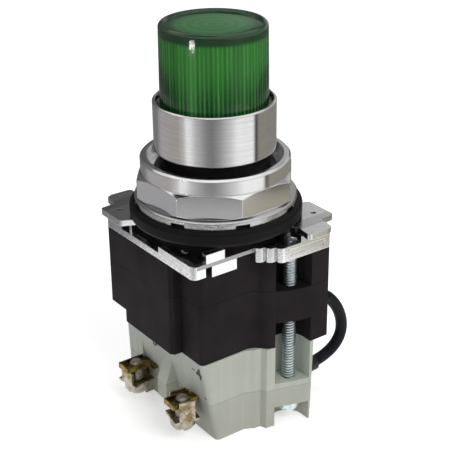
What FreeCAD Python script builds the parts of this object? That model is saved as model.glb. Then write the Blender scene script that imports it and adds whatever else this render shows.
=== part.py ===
"""Panel pilot light with a push-to-test lens, for a 30 mm panel hole.

Millimetres, +Z up. The origin is where the axis of the light meets the panel's rear
face, which is the top of the sealing gasket. The lens points up, the contact block
hangs below. The wide front face is at -Y and the terminals are at -X and +X.
The casting, the housings and the block repeat after half a turn about Z.
"""
import FreeCAD, Part
import math
import os

V = FreeCAD.Vector
PARTS = "parts"
AXIS = V(0, 0, 1)

# Travel and running clearances
press_travel = 4.0
slide_gap = 0.3
thread_gap = 0.08
seat_gap = 0.1

# Threaded bushing and its neck
thread_r = 15.0
thread_top = 8.2
bore_r = 12.0
neck_wall = 0.9
neck_r = bore_r + neck_wall
neck_top = 14.3
seal_wall = 0.4
seal_foot_r = 14.6
seal_foot_t = 0.5

# Gasket between panel and casting
gasket_t = 3.9
gasket_r = 21.0
gasket_round = 1.1

# Thrust washer, octagonal nut and its collar
washer_r = 19.7
washer_t = 1.9
washer_notches = 8
washer_notch_deg = 10.0
washer_notch_depth = 0.9
washer_notch_in = 1.6
washer_chamfer = 0.35
washer_notch_first = -107.2
nut_sides = 8
nut_corner_r = 19.6
nut_height = 5.9
nut_chamfer_r = 18.35
nut_chamfer_drop = 0.75
nut_corner_first = -107.6
collar_r = 18.05
collar_wall = 1.7
collar_h = 3.85
collar_round = 0.5

# Sleeve, lens, its gasket and plunger
sleeve_room = 0.65
sleeve_wall = 0.65
sleeve_r = neck_r + seal_wall + sleeve_room + sleeve_wall
flange_gap = 0.35
flange_r = sleeve_r - sleeve_wall - flange_gap
flange_w = 0.75
lens_foot_r = flange_r - flange_w
lens_draft = 0.2
lens_r = lens_foot_r - lens_draft
lens_top = 43.4
lens_wall = 1.7
lens_roof = 3.0
lens_round = 1.0
dish_border = 1.15
dish_r = lens_r - dish_border
dish_depth = 0.65
dish_edge = 0.4
flange_top = 24.2
flange_t = 1.3
flutes = 60
flute_depth = 0.55
lens_gasket_t = 1.0
lens_gasket_w = 1.6
sleeve_top = 25.25
sleeve_bottom = 13.1
sleeve_round = 0.3
sleeve_lip_t = 1.0
sleeve_lip_w = 0.7
plunger_head_t = 1.5
plunger_wall = 2.5
plunger_bore_r = bore_r - slide_gap - plunger_wall
plunger_end = -9.0
clip_t = 1.0
clip_reach = 1.4
clip_r = bore_r + clip_reach
clip_groove = 0.5
clip_gap = 2.4

# Return spring and the yoke that it lifts
yoke_t = 2.0
yoke_r = 11.9
leg_half = 2.0
leg_y_in = 11.9
leg_y_out = 13.7
leg_gap = 0.4
spring_wire_r = 0.5
spring_mean_r = 10.75
spring_turns = 4.0

# Die-cast operator body below the panel
plate_t = 1.5
hub_r = 17.0
half_x = 18.25
front_y = 16.4
step_y = 21.35
rim_wall = 1.6
rim_bottom = -10.7
rail_top = -9.0
rim_top = -7.4
rim_step_y = -1.9
post_y = 10.0
post_w = 0.9
window_y = 14.9
bar_top = -7.0
bar_recess = 0.35
bar_border = 0.95
rail_t = 1.0
tab_drop = 0.5
rim_round = 1.5
tab_near = 5.25
tab_far = 12.35
slot_near = 3.55
raised_near = 3.65
raised_far = 8.95
raised_top = -5.1
flute_steps = 3
flute_bulge = 0.28
flute_lead = 0.15
wing_side = 3.45
wing_front = 2.95
wing_root_y = -9.4
wing_hole_in = 0.05
wing_hole_back = 6.25
wing_hole_r = 0.65
wing_hole_depth = 0.9
wing_round = 0.9

# Mounting screws, one in front and one after half a turn
screw_x = 9.4
screw_y = -17.2
screw_r = 1.45
screw_clear = 0.3
screw_tip = -7.8
screw_head_r = 2.8
screw_head_h = 2.7
slot_w = 0.9
slot_depth = 1.2
slot_turn = 35
boss_r = 2.9
boss_top = -8.4
arm_half = 1.0
channel_x0 = 4.05
channel_x1 = 12.9
channel_y = -18.3

# Upper and lower housing of the light unit
house_y = 14.9
house_corner_x = 15.5
house_notch_y = -6.5
upper_h = 8.8
lower_h = 15.7
house_split = rim_bottom - upper_h
house_bottom = house_split - lower_h
house_raise = 3.4
house_raise_y = 14.7
deck_inset = 2.1
deck_top = -8.8
deck_collar_room = 0.8
deck_collar_wall = 1.2
deck_collar_in = clip_r + deck_collar_room
deck_collar_out = deck_collar_in + deck_collar_wall
lug_h = 8.8
floor_t = 1.5
cavity_x = 13.0
cavity_y = 12.9
corner_cut_x = 3.5
pip_in = 5.65
pip_back = 4.8
pip_r = 2.0
pip_h = 0.6

# Lamp and its socket
holder_r = 6.6
holder_foot_r = 8.2
holder_foot_t = 2.0
holder_top = -8.0
socket_wall = 0.6
socket_bottom = -12.0
socket_top = 3.0
cap_r = 4.6
cap_top = 6.0
cap_bottom = -10.4
glass_r = 5.0
glass_top = 27.0
pin_contact_r = 1.4
bayonet_r = 0.8
bayonet_out = 0.7
bayonet_z = 4.4

# Transformer for the lamp
core_x = 11.0
core_y = 4.0
core_h = 12.4
core_leg = 3.0
coil_x = 7.8
coil_h = 6.0

# Contact block, two mouldings
block_top_h = 12.2
block_base_h = 10.9
block_split = house_bottom - block_top_h
block_bottom = block_split - block_base_h
block_top_x = 15.5
block_foot_x = 11.4
block_top_y = 15.2
block_foot_y = 15.0
lobe_draft = 0.955
block_round = 1.2
boss_above = 1.6
boss_below = 5.4
lobe_x0 = -3.3
lobe_side = 3.85
block_roof_t = 1.5
block_floor_t = 1.3
chamber_x = 8.0
chamber_y = 12.9
leg_room = 14.1
barrier_x = 16.6
barrier_y0 = -0.5
barrier_y1 = 3.4
barrier_up = 6.4
barrier_down = 7.3
barrier_face_up = 0.4
barrier_face_down = 4.6
ledge_x0 = -14.4
ledge_x1 = -12.3
ledge_short = 0.15

# Contact carriage, bridges and spring
carriage_gap = 0.3
carriage_t = 2.0
carriage_half = 2.2
carriage_y = 13.8
carriage_drop = 0.8
pad_r = 3.2
post_half_y = 2.4
pole_front_y = -8.6
pole_back_y = 9.8
bridge_half_x = 7.0
bridge_half_y = 1.3
bridge_t = 0.8
post_foot = 0.5
post_slim = 0.2
contact_in = 1.2
contact_r = 1.0
lift_wire_r = 0.3
lift_mean_r = 2.3
lift_turns = 6.0

# Terminals: side, x and y of the screw, y of the pole inside, turn and cheek top of the
# clamp, thickness of a plate under the clamp
lug_t = 0.8
strip_rise = 0.4
strip_top = block_split + strip_rise
strip_t = 0.8
cheek_tall = strip_top + 1.0
cheek_low = strip_top - 1.1
terminals = [(-1, 17.2, -8.6, pole_front_y, 12, cheek_tall, 0),
             (-1, 17.4, 12.4, pole_back_y, 82, cheek_low, 0),
             (1, 17.2, -9.6, pole_front_y, 0, cheek_tall, lug_t),
             (1, 17.2, 8.6, pole_back_y, -8, cheek_tall, 0)]
strip_inner_x = 5.0
strip_neck_half = 1.5
strip_reach_y = 12.7
strip_head_in = 3.2
strip_head_out = 4.0
strip_head_half = 2.1
strip_lip = 0.7
strip_lip_t = 0.4
clamp_half = 3.3
clamp_cheek_half = 2.1
clamp_t = 0.6
clamp_drop = 4.3
term_screw_r = 1.7
term_head_r = 3.2
term_head_h = 3.2
term_above = 1.0
slot_angles = (50, 20, 10, 75)

# Lead from the light unit to the front right terminal
lead_r = 1.55
lead_fit = 0.05
grommet_r = 3.2
grommet_neck_r = 2.5
grommet_t = 1.2
lead_y = -10.0
lead_up = 5.6
lead_loop = [(12.4, 0.0, 0.0), (19.1, -0.2, -7.1), (21.0, -0.1, -15.4)]
lug_half = 2.5
lug_rise_deg = 5.0
lug_neck_x = 21.0
barrel_r = 2.1
barrel_len = 3.4
barrel_depth = 2.2
lead_last_run = 8.3


def box(x0, x1, y0, y1, z0, z1):
    """Block between two corners."""
    return Part.makeBox(x1 - x0, y1 - y0, z1 - z0, V(x0, y0, z0))


def rod(r, z0, z1, x=0.0, y=0.0):
    """Upright round bar."""
    return Part.makeCylinder(r, z1 - z0, V(x, y, z0))


def ring(r_out, r_in, z0, z1, x=0.0, y=0.0):
    """Upright tube."""
    return rod(r_out, z0, z1, x, y).cut(rod(r_in, z0 - 1, z1 + 1, x, y))


def prism(points, z0, z1):
    """Upright prism on a closed polygon of (x, y) points."""
    wire = Part.makePolygon([V(x, y, z0) for x, y in points + points[:1]])
    return Part.Face(wire).extrude(V(0, 0, z1 - z0))


def rounded(points, radii):
    """Closed wire at z = 0 through (x, y) points with an arc at each corner that has a radius."""
    edges = []
    count = len(points)
    starts = []
    for i in range(count):
        here = V(points[i][0], points[i][1], 0)
        back = V(points[i - 1][0], points[i - 1][1], 0).sub(here)
        ahead = V(points[(i + 1) % count][0], points[(i + 1) % count][1], 0).sub(here)
        back.normalize()
        ahead.normalize()
        if radii[i] == 0:
            starts.append((here, None, here))
            continue
        half = back.getAngle(ahead) / 2
        reach = radii[i] / math.tan(half)
        middle = back.add(ahead)
        middle.normalize()
        far = radii[i] / math.sin(half) - radii[i]
        starts.append((here.add(back * reach), here.add(middle * far), here.add(ahead * reach)))
    for i in range(count):
        first, mid, last = starts[i]
        if mid is not None:
            edges.append(Part.Arc(first, mid, last).toShape())
        edges.append(Part.LineSegment(last, starts[(i + 1) % count][0]).toShape())
    return Part.Wire(edges)


def slab(wire, z0, z1):
    """Upright prism on a closed wire that lies at z = 0."""
    face = Part.Face(wire)
    face.translate(V(0, 0, z0))
    return face.extrude(V(0, 0, z1 - z0))


def turned(profile):
    """Solid of revolution about Z from (r, z) points."""
    wire = Part.makePolygon([V(r, 0, z) for r, z in profile + profile[:1]])
    return Part.Face(wire).revolve(V(0, 0, 0), AXIS, 360)


def half_turn(shape):
    """The same shape after half a turn about Z."""
    copy = shape.copy()
    copy.rotate(V(0, 0, 0), AXIS, 180)
    return copy


def both(shape):
    """A shape joined to its half-turn copy."""
    return shape.fuse(half_turn(shape))


def coil(mean_r, wire_r, z0, z1, turns, x=0.0, y=0.0):
    """Round-wire coil spring between two heights."""
    height = z1 - z0 - 2 * wire_r
    helix = Part.makeHelix(height / turns, height, mean_r)
    start = V(mean_r, 0, 0)
    section = Part.Wire([Part.makeCircle(wire_r, start, V(0, 1, 0))])
    solid = Part.Wire(helix).makePipeShell([section], True, True)
    solid.translate(V(x, y, z0 + wire_r))
    return solid


def slotted_screw(x, y, tip, seat, shank_r, head_r, head_h, slot_angle):
    """Screw whose domed, slotted head hangs under the seat and whose tip points up."""
    dome = head_h * 0.45
    head = turned([(0, seat), (head_r, seat), (head_r, seat - head_h + dome),
                   (head_r * 0.78, seat - head_h + dome * 0.3), (head_r * 0.45, seat - head_h),
                   (0, seat - head_h)])
    point = shank_r * 0.35
    shank = turned([(0, seat), (shank_r, seat), (shank_r, tip - point), (shank_r - point, tip), (0, tip)])
    cut = box(-head_r - 1, head_r + 1, -slot_w / 2, slot_w / 2, seat - head_h - 1, seat - head_h + slot_depth)
    screw = head.cut(cut).fuse(shank)
    screw.rotate(V(0, 0, 0), AXIS, slot_angle)
    screw.translate(V(x, y, 0))
    return screw


def lens():
    """Hollow lens with a shallow dish on top, a foot flange and flutes inside."""
    foot = flange_top - flange_t
    body = turned([(0, foot), (flange_r, foot), (flange_r, flange_top), (lens_foot_r, flange_top),
                   (lens_r, lens_top), (dish_r, lens_top), (dish_r - dish_edge, lens_top - dish_depth),
                   (0, lens_top - dish_depth)])
    shoulder = [e for e in body.Edges
                if abs(e.BoundBox.XMax - lens_r) < 0.01 and e.BoundBox.ZMin > lens_top - 0.01]
    body = body.makeFillet(lens_round, shoulder)
    inner_r = lens_r - lens_wall
    star = []
    for i in range(flutes):
        for offset, r in ((0.0, inner_r), (0.5, inner_r - flute_depth)):
            turn = 2 * math.pi * (i + offset) / flutes
            star.append((r * math.cos(turn), r * math.sin(turn)))
    return body.cut(prism(star, foot - 1, lens_top - lens_roof))


def lens_gasket():
    """Flat rubber ring under the lens."""
    top = flange_top - flange_t
    return ring(flange_r, flange_r - lens_gasket_w, top - lens_gasket_t, top)


def plunger_head_top():
    """Height of the face that carries the lens gasket."""
    return flange_top - flange_t - lens_gasket_t


def plunger():
    """Sliding tube with a head that carries the lens."""
    top = plunger_head_top()
    tube_r = bore_r - slide_gap
    head_r = sleeve_r - sleeve_wall - seat_gap
    body = turned([(plunger_bore_r, plunger_end), (tube_r, plunger_end), (tube_r, top - plunger_head_t),
                   (head_r, top - plunger_head_t), (head_r, top), (plunger_bore_r, top)])
    return body.cut(ring(tube_r + 1, tube_r - clip_groove, clip_top() - clip_t, clip_top()))


def clip_top():
    """Height of the top of the retaining clip, just under the casting."""
    return -gasket_t - plate_t - slide_gap


def retaining_clip():
    """Split ring in the plunger's groove that stops it at the top."""
    clip = ring(clip_r, bore_r - slide_gap - clip_groove, clip_top() - clip_t, clip_top())
    gap = box(0, clip_r + 1, -clip_gap / 2, clip_gap / 2, clip_top() - clip_t - 1, clip_top() + 1)
    return clip.cut(gap)


def lens_sleeve():
    """Bright turned ring round the foot of the lens, with a lip under the plunger's head."""
    inner = sleeve_r - sleeve_wall
    lip_top = plunger_head_top() - plunger_head_t
    return turned([(inner, sleeve_bottom), (sleeve_r - sleeve_round, sleeve_bottom),
                   (sleeve_r, sleeve_bottom + sleeve_round), (sleeve_r, sleeve_top - sleeve_round),
                   (sleeve_r - sleeve_round, sleeve_top), (inner, sleeve_top), (inner, lip_top),
                   (inner - sleeve_lip_w, lip_top), (inner - sleeve_lip_w, lip_top - sleeve_lip_t),
                   (inner, lip_top - sleeve_lip_t)])


def neck_seal():
    """Rubber boot on the neck of the bushing, with a foot on the thread's end."""
    outer = neck_r + seal_wall
    return turned([(neck_r, thread_top), (seal_foot_r, thread_top), (seal_foot_r, thread_top + seal_foot_t),
                   (outer, thread_top + seal_foot_t), (outer, neck_top), (neck_r, neck_top)])


def push_yoke():
    """Ring under the plunger with two legs that reach the contact block."""
    top = plunger_end
    yoke = rod(yoke_r, top - yoke_t, top)
    legs_top = box(-leg_half, leg_half, -leg_y_out, leg_y_out, top - yoke_t, top)
    yoke = yoke.fuse(legs_top).cut(rod(plunger_bore_r, top - yoke_t - 1, top + 1))
    leg = box(-leg_half, leg_half, leg_y_in, leg_y_out, carriage_top() + carriage_gap, top)
    return yoke.fuse([leg, half_turn(leg)]).removeSplitter()


def return_spring():
    """Coil between the floor of the light unit and the yoke."""
    return coil(spring_mean_r, spring_wire_r, house_split, plunger_end - yoke_t, spring_turns)


def panel_gasket():
    """Thick rubber ring that the panel is pressed on."""
    body = ring(gasket_r, thread_r + slide_gap, -gasket_t, 0)
    rims = [e for e in body.Edges
            if e.Curve.TypeId == "Part::GeomCircle" and e.Curve.Radius > gasket_r - 0.01]
    return body.makeFillet(gasket_round, rims)


def thrust_washer():
    """Round washer under the nut with notches in its lower edge."""
    body = ring(washer_r, thread_r + slide_gap, 0, washer_t)
    edge = [e for e in body.Edges
            if e.Curve.TypeId == "Part::GeomCircle" and e.Curve.Radius > washer_r - 0.01
            and e.BoundBox.ZMax > washer_t - 0.01]
    body = body.makeChamfer(washer_chamfer, edge)
    width = 2 * washer_r * math.sin(math.radians(washer_notch_deg / 2))
    for i in range(washer_notches):
        notch = box(washer_r - washer_notch_in, washer_r + 1, -width / 2, width / 2, -1, washer_notch_depth)
        notch.rotate(V(0, 0, 0), AXIS, washer_notch_first + i * 360.0 / washer_notches)
        body = body.cut(notch)
    return body


def mounting_nut():
    """Octagonal nut with chamfered corners and a thin collar above."""
    z0 = washer_t
    z1 = z0 + nut_height
    top = z1 + collar_h
    points = []
    for i in range(nut_sides):
        turn = math.radians(nut_corner_first + i * 360.0 / nut_sides)
        points.append((nut_corner_r * math.cos(turn), nut_corner_r * math.sin(turn)))
    body = prism(points, z0, z1)
    flat_r = nut_corner_r * math.cos(math.pi / nut_sides)
    slope = nut_chamfer_drop / (nut_corner_r - nut_chamfer_r)
    drop = slope * (nut_corner_r + 1 - nut_chamfer_r)
    cone = turned([(0, z0), (nut_chamfer_r, z0), (nut_corner_r + 1, z0 + drop),
                   (nut_corner_r + 1, z1 - drop), (nut_chamfer_r, z1), (0, z1)])
    body = body.common(cone)
    collar = turned([(0, z1 - 1), (min(collar_r, flat_r), z1 - 1), (collar_r, top - collar_round),
                     (collar_r - collar_round, top), (0, top)])
    body = body.fuse(collar)
    bore = rod(thread_r + thread_gap, z0 - 1, top + 1)
    counterbore = rod(collar_r - collar_wall, z1, top + 1)
    return body.cut(bore).cut(counterbore).removeSplitter()


def wing():
    """Plate that sticks out at the front right corner of the casting, with a notched corner."""
    side = half_x + wing_side
    front = -step_y - wing_front
    notch = -step_y + 2.25
    points = [(half_x - 12.25, wing_root_y - 0.6), (half_x - 8.35, notch - 0.3), (half_x - 8.95, front),
              (half_x - 3.05, front), (half_x - 1.55, front + 0.8), (half_x - 0.85, notch),
              (side - 0.1, notch + 0.4), (side, wing_root_y), (half_x - 4.25, wing_root_y + 3.4)]
    radii = [0, 0.5, wing_round, wing_round, 0.4, 0.4, wing_round, wing_round, 0]
    plate = slab(rounded(points, radii), -gasket_t - plate_t, -gasket_t)
    hole = rod(wing_hole_r, -gasket_t - wing_hole_depth, 0, half_x - wing_hole_in, -step_y + wing_hole_back)
    return plate.cut(hole)


def flute_block(z0, z1, x0, y0, x1, y1, count):
    """Upright block whose outer edge steps from one corner to another in rounded flutes."""
    edges = []
    corner = V(x0, y0, 0)
    for i in range(count):
        nxt = V(x0 + (x1 - x0) * (i + 1) / count, y0 + (y1 - y0) * (i + 1) / count, 0)
        chord = nxt.sub(corner)
        out = V(chord.y, -chord.x, 0)
        mid = corner.add(chord * 0.5).add(out * flute_bulge)
        edges.append(Part.Arc(corner, mid, nxt).toShape())
        corner = nxt
    inner = V(x1, y0 + rim_wall, 0)
    back = V(x0, y0 + rim_wall, 0)
    edges.append(Part.LineSegment(corner, inner).toShape())
    edges.append(Part.LineSegment(inner, back).toShape())
    edges.append(Part.LineSegment(back, V(x0, y0, 0)).toShape())
    return slab(Part.Wire(edges), z0, z1)


def rim_half():
    """Left and front walls of the casting: rails, raised rims, tabs, flutes and the front bar."""
    under = -gasket_t - plate_t
    left_in = -half_x + rim_wall
    front_in = -front_y + rim_wall
    step_in = -step_y + rim_wall
    slot_x0 = -half_x + slot_near
    flute_x1 = channel_x0 + 1.0
    flute_x0 = flute_x1 - (step_y - front_y) * 1.2
    pieces = [
        box(-half_x, left_in, -front_y, step_y, rim_bottom, rail_top),
        box(-half_x, left_in, -front_y, rim_step_y, rail_top, rim_top),
        box(-half_x, left_in, post_y, post_y + post_w, rail_top, under),
        box(-half_x, left_in, window_y, step_y, rail_top, under),
        box(-half_x, slot_x0, -front_y, front_in, rim_bottom, rim_top),
        box(slot_x0, flute_x0, -front_y, front_in, rim_top - rail_t, rim_top),
        box(-half_x + tab_near, -half_x + tab_far, -front_y, front_in, rim_bottom - tab_drop,
            rim_top - rail_t),
        box(-half_x + raised_near, -half_x + raised_far, -front_y, front_in, rim_top, raised_top),
        flute_block(rim_bottom, bar_top, flute_x0 - flute_lead, -front_y, flute_x1, -step_y, flute_steps),
        box(flute_x1 - flute_lead, half_x, -step_y, step_in, rim_bottom, bar_top),
        box(screw_x, half_x, -step_y, step_in, bar_top, under),
    ]
    rim = pieces[0].fuse(pieces[1:]).removeSplitter()
    recess = box(flute_x1 + bar_border, half_x - bar_border, -step_y - 1, -step_y + bar_recess,
                 rim_bottom + bar_border, bar_top - bar_border)
    rim = rim.cut(recess)
    corner = [e for e in rim.Edges
              if abs(e.BoundBox.XMin + half_x) < 0.01 and abs(e.BoundBox.XMax + half_x) < 0.01
              and abs(e.BoundBox.YMin + front_y) < 0.01 and abs(e.BoundBox.YMax + front_y) < 0.01]
    return rim.makeFillet(rim_round, corner)


def screw_boss():
    """Threaded boss of the casting for the front mounting screw, webbed to the front bar."""
    boss = rod(boss_r, rim_bottom, boss_top, screw_x, screw_y)
    web = box(screw_x - boss_r, screw_x + boss_r, -step_y + rim_wall - 0.1, screw_y, rim_bottom, boss_top)
    arm = box(screw_x - arm_half, screw_x + arm_half, screw_y, -bore_r + 1.0, rim_bottom + 1.0,
              -gasket_t - 0.2)
    return boss.fuse([web, arm])


def operator_body():
    """Die casting in one piece: threaded bushing, hub plate, wings and rim."""
    under = -gasket_t - plate_t
    bushing = turned([(bore_r, under), (hub_r, under), (hub_r, -gasket_t), (thread_r, -gasket_t),
                      (thread_r, thread_top - 0.6), (thread_r - 0.6, thread_top), (neck_r, thread_top),
                      (neck_r, neck_top), (bore_r, neck_top)])
    body = bushing.fuse([both(wing()), both(rim_half()), both(screw_boss())])
    body = body.cut(rod(bore_r, under - 1, neck_top + 1))
    body = body.cut(both(rod(screw_r + seat_gap / 2, rim_bottom - 1, -gasket_t - 0.5, screw_x, screw_y)))
    clear = ring(deck_collar_out + slide_gap, bore_r, rim_bottom - 1, under)
    return body.cut(clear).removeSplitter()


def housing_outline():
    """Plan of the light unit's mouldings, made of one half and its half-turn copy."""
    def half_edges():
        a = V(-half_x, step_y, 0)
        b = V(-half_x, house_notch_y + 0.9, 0)
        c = V(-half_x + 0.9, house_notch_y, 0)
        d = V(-house_corner_x, house_notch_y, 0)
        e = V(-house_corner_x, -house_y + 1.2, 0)
        f = V(-house_corner_x + 1.2, -house_y, 0)
        g = V(channel_x0 - 6.45, -house_y, 0)
        h = V(channel_x0 - 3.35, -house_y - 1.3, 0)
        i = V(channel_x0 - 2.75, -house_y - 2.1, 0)
        j = V(channel_x0, -house_y - 3.7, 0)
        k = V(channel_x1, -step_y, 0)
        last = V(half_x, -step_y, 0)
        return [
            Part.LineSegment(a, b).toShape(),
            Part.LineSegment(b, c).toShape(),
            Part.LineSegment(c, d).toShape(),
            Part.LineSegment(d, e).toShape(),
            Part.Arc(e, V(-house_corner_x + 0.35, -house_y + 0.35, 0), f).toShape(),
            Part.LineSegment(f, g).toShape(),
            Part.Arc(g, V(channel_x0 - 4.65, -house_y - 0.35, 0), h).toShape(),
            Part.LineSegment(h, i).toShape(),
            Part.Arc(i, V(channel_x0 - 1.55, -house_y - 3.1, 0), j).toShape(),
            Part.Arc(j, V(screw_x - 1.0, -step_y + 0.75, 0), k).toShape(),
            Part.LineSegment(k, last).toShape(),
        ]
    edges = half_edges()
    for edge in half_edges():
        edges.append(half_turn(edge))
    return Part.Wire(edges)


def channel(z0, z1):
    """Round-backed slot for a mounting screw, open to the front."""
    r = (channel_x1 - channel_x0) / 2
    x = (channel_x1 + channel_x0) / 2
    slot = rod(r, z0, z1, x, channel_y)
    mouth = box(channel_x0, channel_x1, -step_y - 3, channel_y, z0, z1)
    return slot.fuse(mouth)


def screw_holes(z0, z1):
    """Clearance holes for both mounting screws."""
    return both(rod(screw_r + screw_clear, z0, z1, screw_x, screw_y))


def leg_slots(z0, z1):
    """Passages for the legs of the yoke."""
    half = leg_half + leg_gap
    return both(box(-half, half, leg_y_in - leg_gap, leg_room, z0, z1))


def upper_housing():
    """Upper moulding of the light unit, with a round collar that reaches under the casting."""
    body = slab(housing_outline(), house_split, rim_bottom)
    deck_x = half_x - deck_inset
    deck_y = front_y - deck_inset
    deck = box(-deck_x, deck_x, -deck_y, deck_y, rim_bottom, deck_top)
    body = body.fuse(deck)
    body = body.fuse(rod(deck_collar_out, rim_bottom, -gasket_t - plate_t - slide_gap))
    pip = ring(pip_r, pip_r * 0.45, deck_top, deck_top + pip_h, -half_x + pip_in, -front_y + pip_back)
    body = body.fuse(both(pip))
    body = body.cut(both(rod(boss_r + slide_gap, rim_bottom, deck_top + 5, screw_x, screw_y)))
    arm_room = arm_half + slide_gap
    arm = box(screw_x - arm_room, screw_x + arm_room, screw_y, -bore_r + 1.0 + slide_gap, rim_bottom, 0)
    body = body.cut(both(arm))
    body = body.cut(both(channel(house_split - 1, rim_bottom)))
    body = body.cut(rod(deck_collar_in, house_split - 1, 0))
    return body.removeSplitter()


def lower_housing():
    """Lower moulding of the light unit, with lugs for the screws and a room for the transformer."""
    body = slab(housing_outline(), house_bottom, house_split)
    corner = box(-half_x - 1, -house_corner_x + corner_cut_x, house_raise_y, step_y + 1, house_bottom - 1,
                 house_bottom + house_raise)
    body = body.cut(corner)
    body = body.cut(both(channel(house_bottom - 1, house_split - lug_h)))
    body = body.cut(screw_holes(house_bottom - 1, house_split + 1))
    room = box(-cavity_x, cavity_x, -cavity_y, cavity_y, house_bottom - 1, house_split - floor_t)
    body = body.cut(room)
    body = body.cut(leg_slots(house_bottom - 1, house_split + 1))
    exit_hole = Part.makeCylinder(grommet_neck_r, 10, lead_start().sub(V(1, 0, 0)), V(1, 0, 0))
    return body.cut(exit_hole).removeSplitter()


def lead_start():
    """Point on the inner face of the right wall where the lead begins."""
    return V(cavity_x, lead_y, house_bottom + lead_up)


def lead_grommet():
    """Rubber bush in the right side of the lower housing, with a bore for the lead."""
    start = lead_start()
    neck = Part.makeCylinder(grommet_neck_r, half_x - cavity_x, start, V(1, 0, 0))
    head = Part.makeCylinder(grommet_r, grommet_t, start.add(V(half_x - cavity_x, 0, 0)), V(1, 0, 0))
    bore = Part.makeCylinder(lead_r + lead_fit, half_x, start.sub(V(1, 0, 0)), V(1, 0, 0))
    return neck.fuse(head).cut(bore)


def lamp_holder():
    """Insulating post on the floor of the light unit that carries the socket."""
    inner = cap_r + 0.3 + socket_wall
    foot_top = house_split + holder_foot_t
    return turned([(0, house_split), (holder_foot_r, house_split), (holder_foot_r, foot_top),
                   (holder_r, foot_top), (holder_r, holder_top), (inner, holder_top),
                   (inner, socket_bottom), (0, socket_bottom)])


def lamp_socket():
    """Metal shell that grips the lamp's cap."""
    inner = cap_r + 0.3
    outer = inner + socket_wall
    shell = ring(outer, inner, socket_bottom, socket_top)
    slot = box(inner - 1, outer + 1, -0.7, 0.7, socket_top - 4, socket_top + 1)
    return shell.cut(both(slot))


def centre_contact():
    """Sprung centre contact under the lamp."""
    step = (cap_bottom - socket_bottom) / 2
    foot_r = pin_contact_r * 2
    return turned([(0, socket_bottom), (foot_r, socket_bottom), (foot_r, socket_bottom + step / 2),
                   (pin_contact_r, socket_bottom + step), (pin_contact_r, cap_bottom), (0, cap_bottom)])


def lamp_base():
    """Metal cap of the lamp with two bayonet pins."""
    pip = 0.8
    cap = turned([(0, cap_bottom), (pin_contact_r + 0.2, cap_bottom), (cap_r, cap_bottom + pip),
                  (cap_r, cap_top), (0, cap_top)])
    reach = cap_r + bayonet_out
    pins = Part.makeCylinder(bayonet_r, 2 * reach, V(-reach, 0, bayonet_z), V(1, 0, 0))
    return cap.fuse(pins)


def lamp_bulb():
    """Glass bulb of the lamp with a round end."""
    body = turned([(0, cap_top), (cap_r, cap_top), (glass_r, cap_top + 1.2), (glass_r, glass_top),
                   (0, glass_top)])
    end = [e for e in body.Edges if e.BoundBox.ZMin > glass_top - 0.01 and e.BoundBox.XMax > glass_r - 0.01]
    return body.makeFillet(glass_r - 0.6, end)


def transformer_core():
    """Stack of iron laminations with two windows."""
    z0 = house_bottom
    z1 = z0 + core_h
    window_h = coil_h + 0.4
    middle = (z0 + z1) / 2
    window = box(core_leg, core_x - core_leg, -core_y - 1, core_y + 1,
                 middle - window_h / 2, middle + window_h / 2)
    return box(-core_x, core_x, -core_y, core_y, z0, z1).cut(both(window))


def transformer_coil():
    """Winding round the middle leg of the core."""
    middle = house_bottom + core_h / 2
    outline = rounded([(-coil_x, -coil_x), (coil_x, -coil_x), (coil_x, coil_x), (-coil_x, coil_x)], [1.6] * 4)
    winding = slab(outline, middle - coil_h / 2, middle + coil_h / 2)
    hole = box(-core_leg - 0.1, core_leg + 0.1, -core_y - 0.1, core_y + 0.1,
               middle - coil_h, middle + coil_h)
    return winding.cut(hole)


def lobe_points(scale):
    """Plan of the corner column that holds the front mounting screw, with stepped flutes."""
    root = -house_y + 0.9
    side = screw_x + lobe_side + block_round
    points = [(lobe_x0, root), (lobe_x0, -house_y - 0.2), (channel_x0 - 4.65, -house_y - 1.6),
              (channel_x0 - 2.95, -house_y - 1.8), (channel_x0 - 2.35, -house_y - 3.45),
              (channel_x0 - 0.1, -house_y - 3.7), (channel_x1 - 0.5, -step_y), (side - 0.5, -step_y),
              (side, -step_y + 0.55), (side, root)]
    return [V(x * scale, y if y == root else y * (1 + (scale - 1) * 0.3), 0) for x, y in points]


def lobe():
    """Corner column of the contact block with a little draft."""
    wires = []
    for scale, z in ((1.0, house_bottom), (lobe_draft, block_bottom)):
        points = [p.add(V(0, 0, z)) for p in lobe_points(scale)]
        wires.append(Part.makePolygon(points + points[:1]))
    return Part.makeLoft(wires, True, True)


def block_core():
    """Tapered middle of the contact block."""
    wires = []
    for x, y, z in ((block_top_x, block_top_y, house_bottom), (block_foot_x, block_foot_y, block_bottom)):
        wire = rounded([(-x, -y), (x, -y), (x, y), (-x, y)], [block_round] * 4)
        wire.translate(V(0, 0, z))
        wires.append(wire)
    return Part.makeLoft(wires, True, True)


def barrier():
    """Wedge-shaped wall between the two terminals of the left side."""
    root = -block_foot_x + 2
    top = block_split + barrier_up
    bottom = block_split - barrier_down
    profile = [(root, top), (-block_top_x + 1, top), (-barrier_x, block_split + barrier_face_up),
               (-barrier_x, block_split - barrier_face_down), (-block_foot_x - 0.6, bottom), (root, bottom)]
    wire = Part.makePolygon([V(x, barrier_y0, z) for x, z in profile + profile[:1]])
    return Part.Face(wire).extrude(V(0, barrier_y1 - barrier_y0, 0))


def ledge():
    """Part of the back left column that reaches up under the cut-back corner of the housing."""
    return box(ledge_x0, ledge_x1, house_y + slide_gap, step_y - ledge_short, house_bottom - 1,
               house_bottom + house_raise)


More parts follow.
